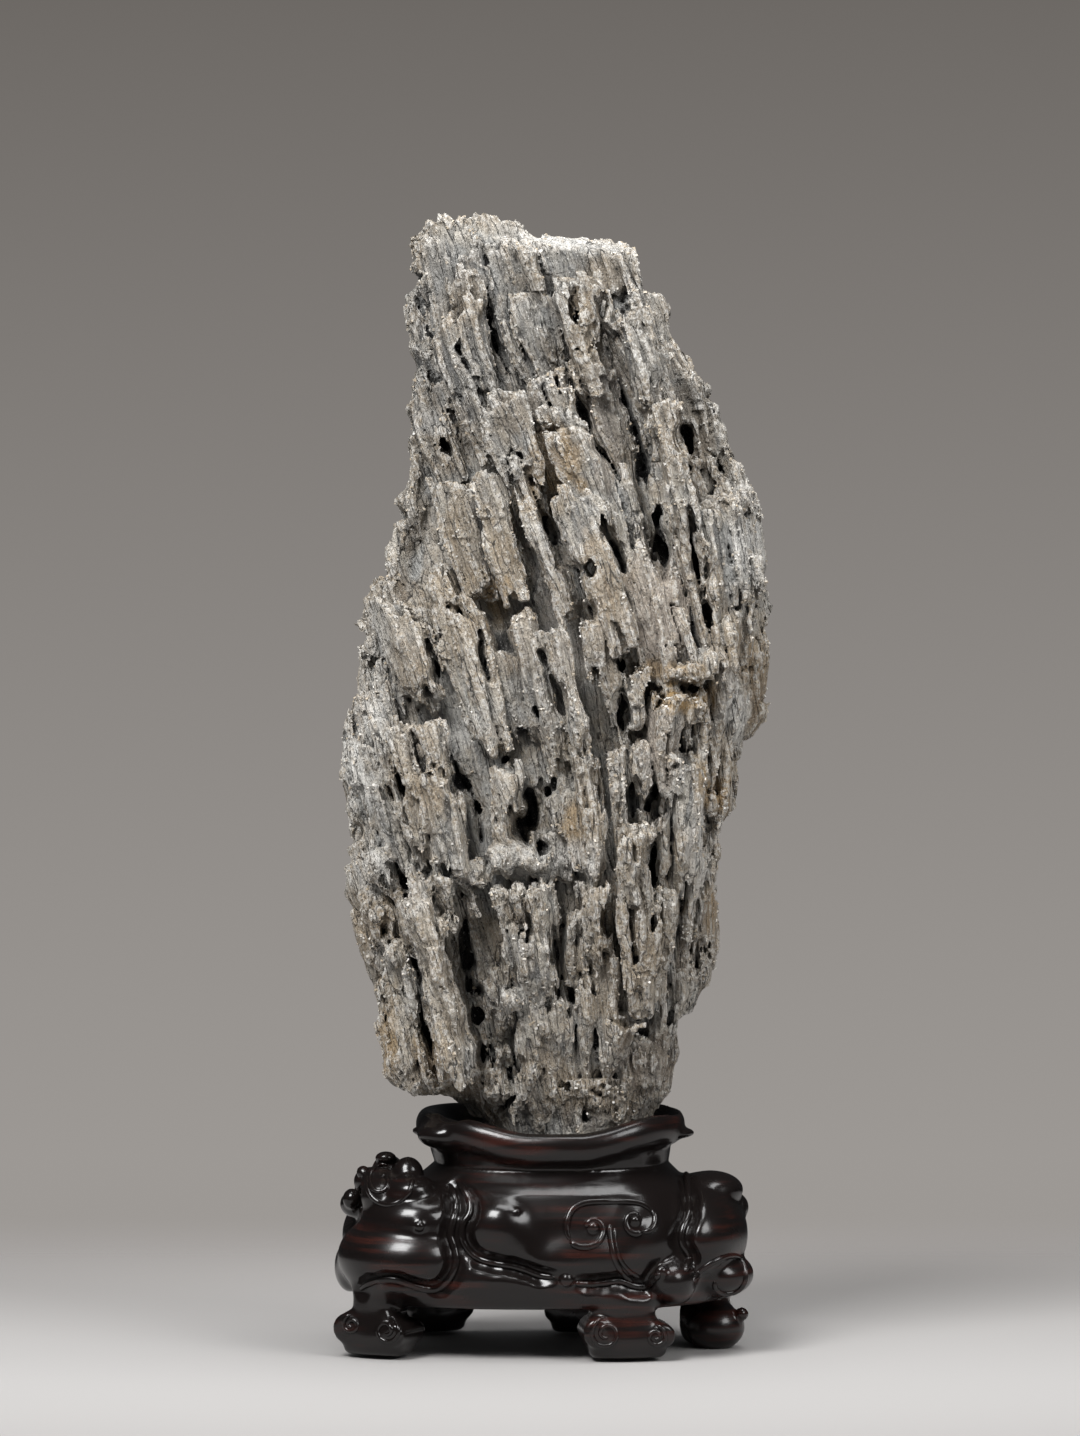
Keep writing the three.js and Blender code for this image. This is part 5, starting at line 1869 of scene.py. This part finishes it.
@dataclass
class Studio:
    """The floor, the backdrop, the lights and the camera."""

    distance: float = 2.1
    height: float = 0.272
    aside: float = -0.0065
    lens: float = 121.5
    ambient: float = 0.19
    mirrored: float = 0.018
    pale: tuple[float, float, float] = (0.35, 0.34, 0.334)
    grey: tuple[float, float, float] = (0.30, 0.288, 0.28)
    low: tuple[float, float, float] = (0.335, 0.315, 0.298)
    high: tuple[float, float, float] = (0.150, 0.138, 0.127)

    def build(self) -> None:
        """Sets the stage round the object."""
        bpy.context.scene.view_settings.view_transform = "Standard"
        self.floor()
        self.surround()
        self.lights()
        data = bpy.data.cameras.new("camera")
        data.sensor_width = 36
        data.lens = self.lens
        camera = bpy.data.objects.new("camera", data)
        shift = np.array(TABLE_ORIGIN) * MM
        camera.location = (self.aside + shift[0], -self.distance + shift[1], self.height)
        camera.rotation_euler = (math.pi / 2, 0, 0)
        bpy.context.scene.collection.objects.link(camera)
        bpy.context.scene.camera = camera

    def floor(self) -> None:
        """A matt floor, painted paler round the object as a falloff of light, which fades into the surround
        a little behind it.
        """
        sides, reach = 64, 9.0
        headings = np.linspace(0, 2 * math.pi, sides + 1)[:-1]
        ring = [(reach * math.sin(a), -reach * math.cos(a), 0) for a in headings]
        mesh = bpy.data.meshes.new("floor")
        mesh.from_pydata(ring, [], [tuple(range(sides))])
        piece = object_of("floor", mesh)
        s = Shades("pale floor")
        place = s.node("ShaderNodeSeparateXYZ", {0: s.node("ShaderNodeTexCoord").outputs["Object"]})
        aside = s.maths("MULTIPLY", s.maths("ABSOLUTE", place.outputs["X"], 0), 0.35)
        away = s.maths("SMOOTH_MAX", aside, s.maths("ABSOLUTE", place.outputs["Y"], 0))
        # Painted light: the floor is paler in front and greyer behind, a painted falloff of the light
        # towards the surround.
        colour = s.mix(s.span(place.outputs["Y"], -0.12, 0.26), self.pale, self.grey)
        s.link(colour, s.shader.inputs["Base Color"])
        gone = s.node("ShaderNodeBsdfTransparent").outputs[0]
        given = {0: s.span(away, 0.16, 0.58), 1: s.shader.outputs[0], 2: gone}
        fade = s.node("ShaderNodeMixShader", given)
        s.link(fade.outputs[0], s.tree.nodes["Material Output"].inputs["Surface"])
        s.shader.inputs["Roughness"].default_value = 0.8
        s.shader.inputs["Specular IOR Level"].default_value = 0.2
        piece.data.materials.append(s.material)

    def surround(self) -> None:
        """A grey surround, darker upwards where the camera sees it, and even where it lights."""
        world = bpy.data.worlds.new("surround")
        world.use_nodes = True
        s = Nodes(world.node_tree)
        rays = s.node("ShaderNodeLightPath").outputs
        given = {0: rays["Is Glossy Ray"], 1: self.mirrored - self.ambient, 2: self.ambient}
        strength = s.node("ShaderNodeMath", given, operation="MULTIPLY_ADD")
        light = s.tree.nodes["Background"]
        light.inputs["Color"].default_value = (0.95, 0.97, 1, 1)
        s.link(strength.outputs[0], light.inputs["Strength"])
        split = s.node("ShaderNodeSeparateXYZ", {0: s.node("ShaderNodeTexCoord").outputs["Generated"]})
        given = {"Value": split.outputs["Z"], "From Min": -0.09, "From Max": 0.15}
        fade = s.node("ShaderNodeMapRange", given)
        given = {0: fade.outputs["Result"], 6: (*self.low, 1), 7: (*self.high, 1)}
        blend = s.node("ShaderNodeMix", given, data_type="RGBA")
        seen = s.node("ShaderNodeBackground", {"Color": blend.outputs[2]})
        given = {0: rays["Is Camera Ray"], 1: light.outputs[0], 2: seen.outputs[0]}
        choice = s.node("ShaderNodeMixShader", given)
        s.link(choice.outputs[0], s.tree.nodes["World Output"].inputs["Surface"])
        bpy.context.scene.world = world

    def lights(self) -> None:
        """Soft boxes above the front and at one side."""
        self.softbox("key", (-0.65, -1.1, 1.6), (0, 0, 0.3), 0.8, 52)
        self.softbox("top", (0.2, -0.1, 1.9), (0, 0, 0.3), 0.9, 22)
        self.softbox("fill", (1.2, -1.1, 1.2), (0, 0, 0.25), 0.8, 20)

    def softbox(self, name: str, place: Row, target: Row, size: float, power: float) -> None:
        """A square area light that looks at a point."""
        data = bpy.data.lights.new(name, "AREA")
        data.size = size
        data.energy = power
        lamp = bpy.data.objects.new(name, data)
        lamp.location = place
        lamp.rotation_euler = (Vector(target) - Vector(place)).to_track_quat("-Z", "Y").to_euler()
        bpy.context.scene.collection.objects.link(lamp)


def main() -> None:
    """Builds every piece and the stage."""
    logging.basicConfig(level=logging.INFO, format="%(asctime)s %(message)s")
    stone = Stone().build()
    grains = QuartzGrains()
    tree = grains.tree()
    for number, piece in enumerate(stone, 1):
        grains.build(number, piece, tree)
    Stand().build()
    Studio().build()


if __name__ == "__main__":
    main()
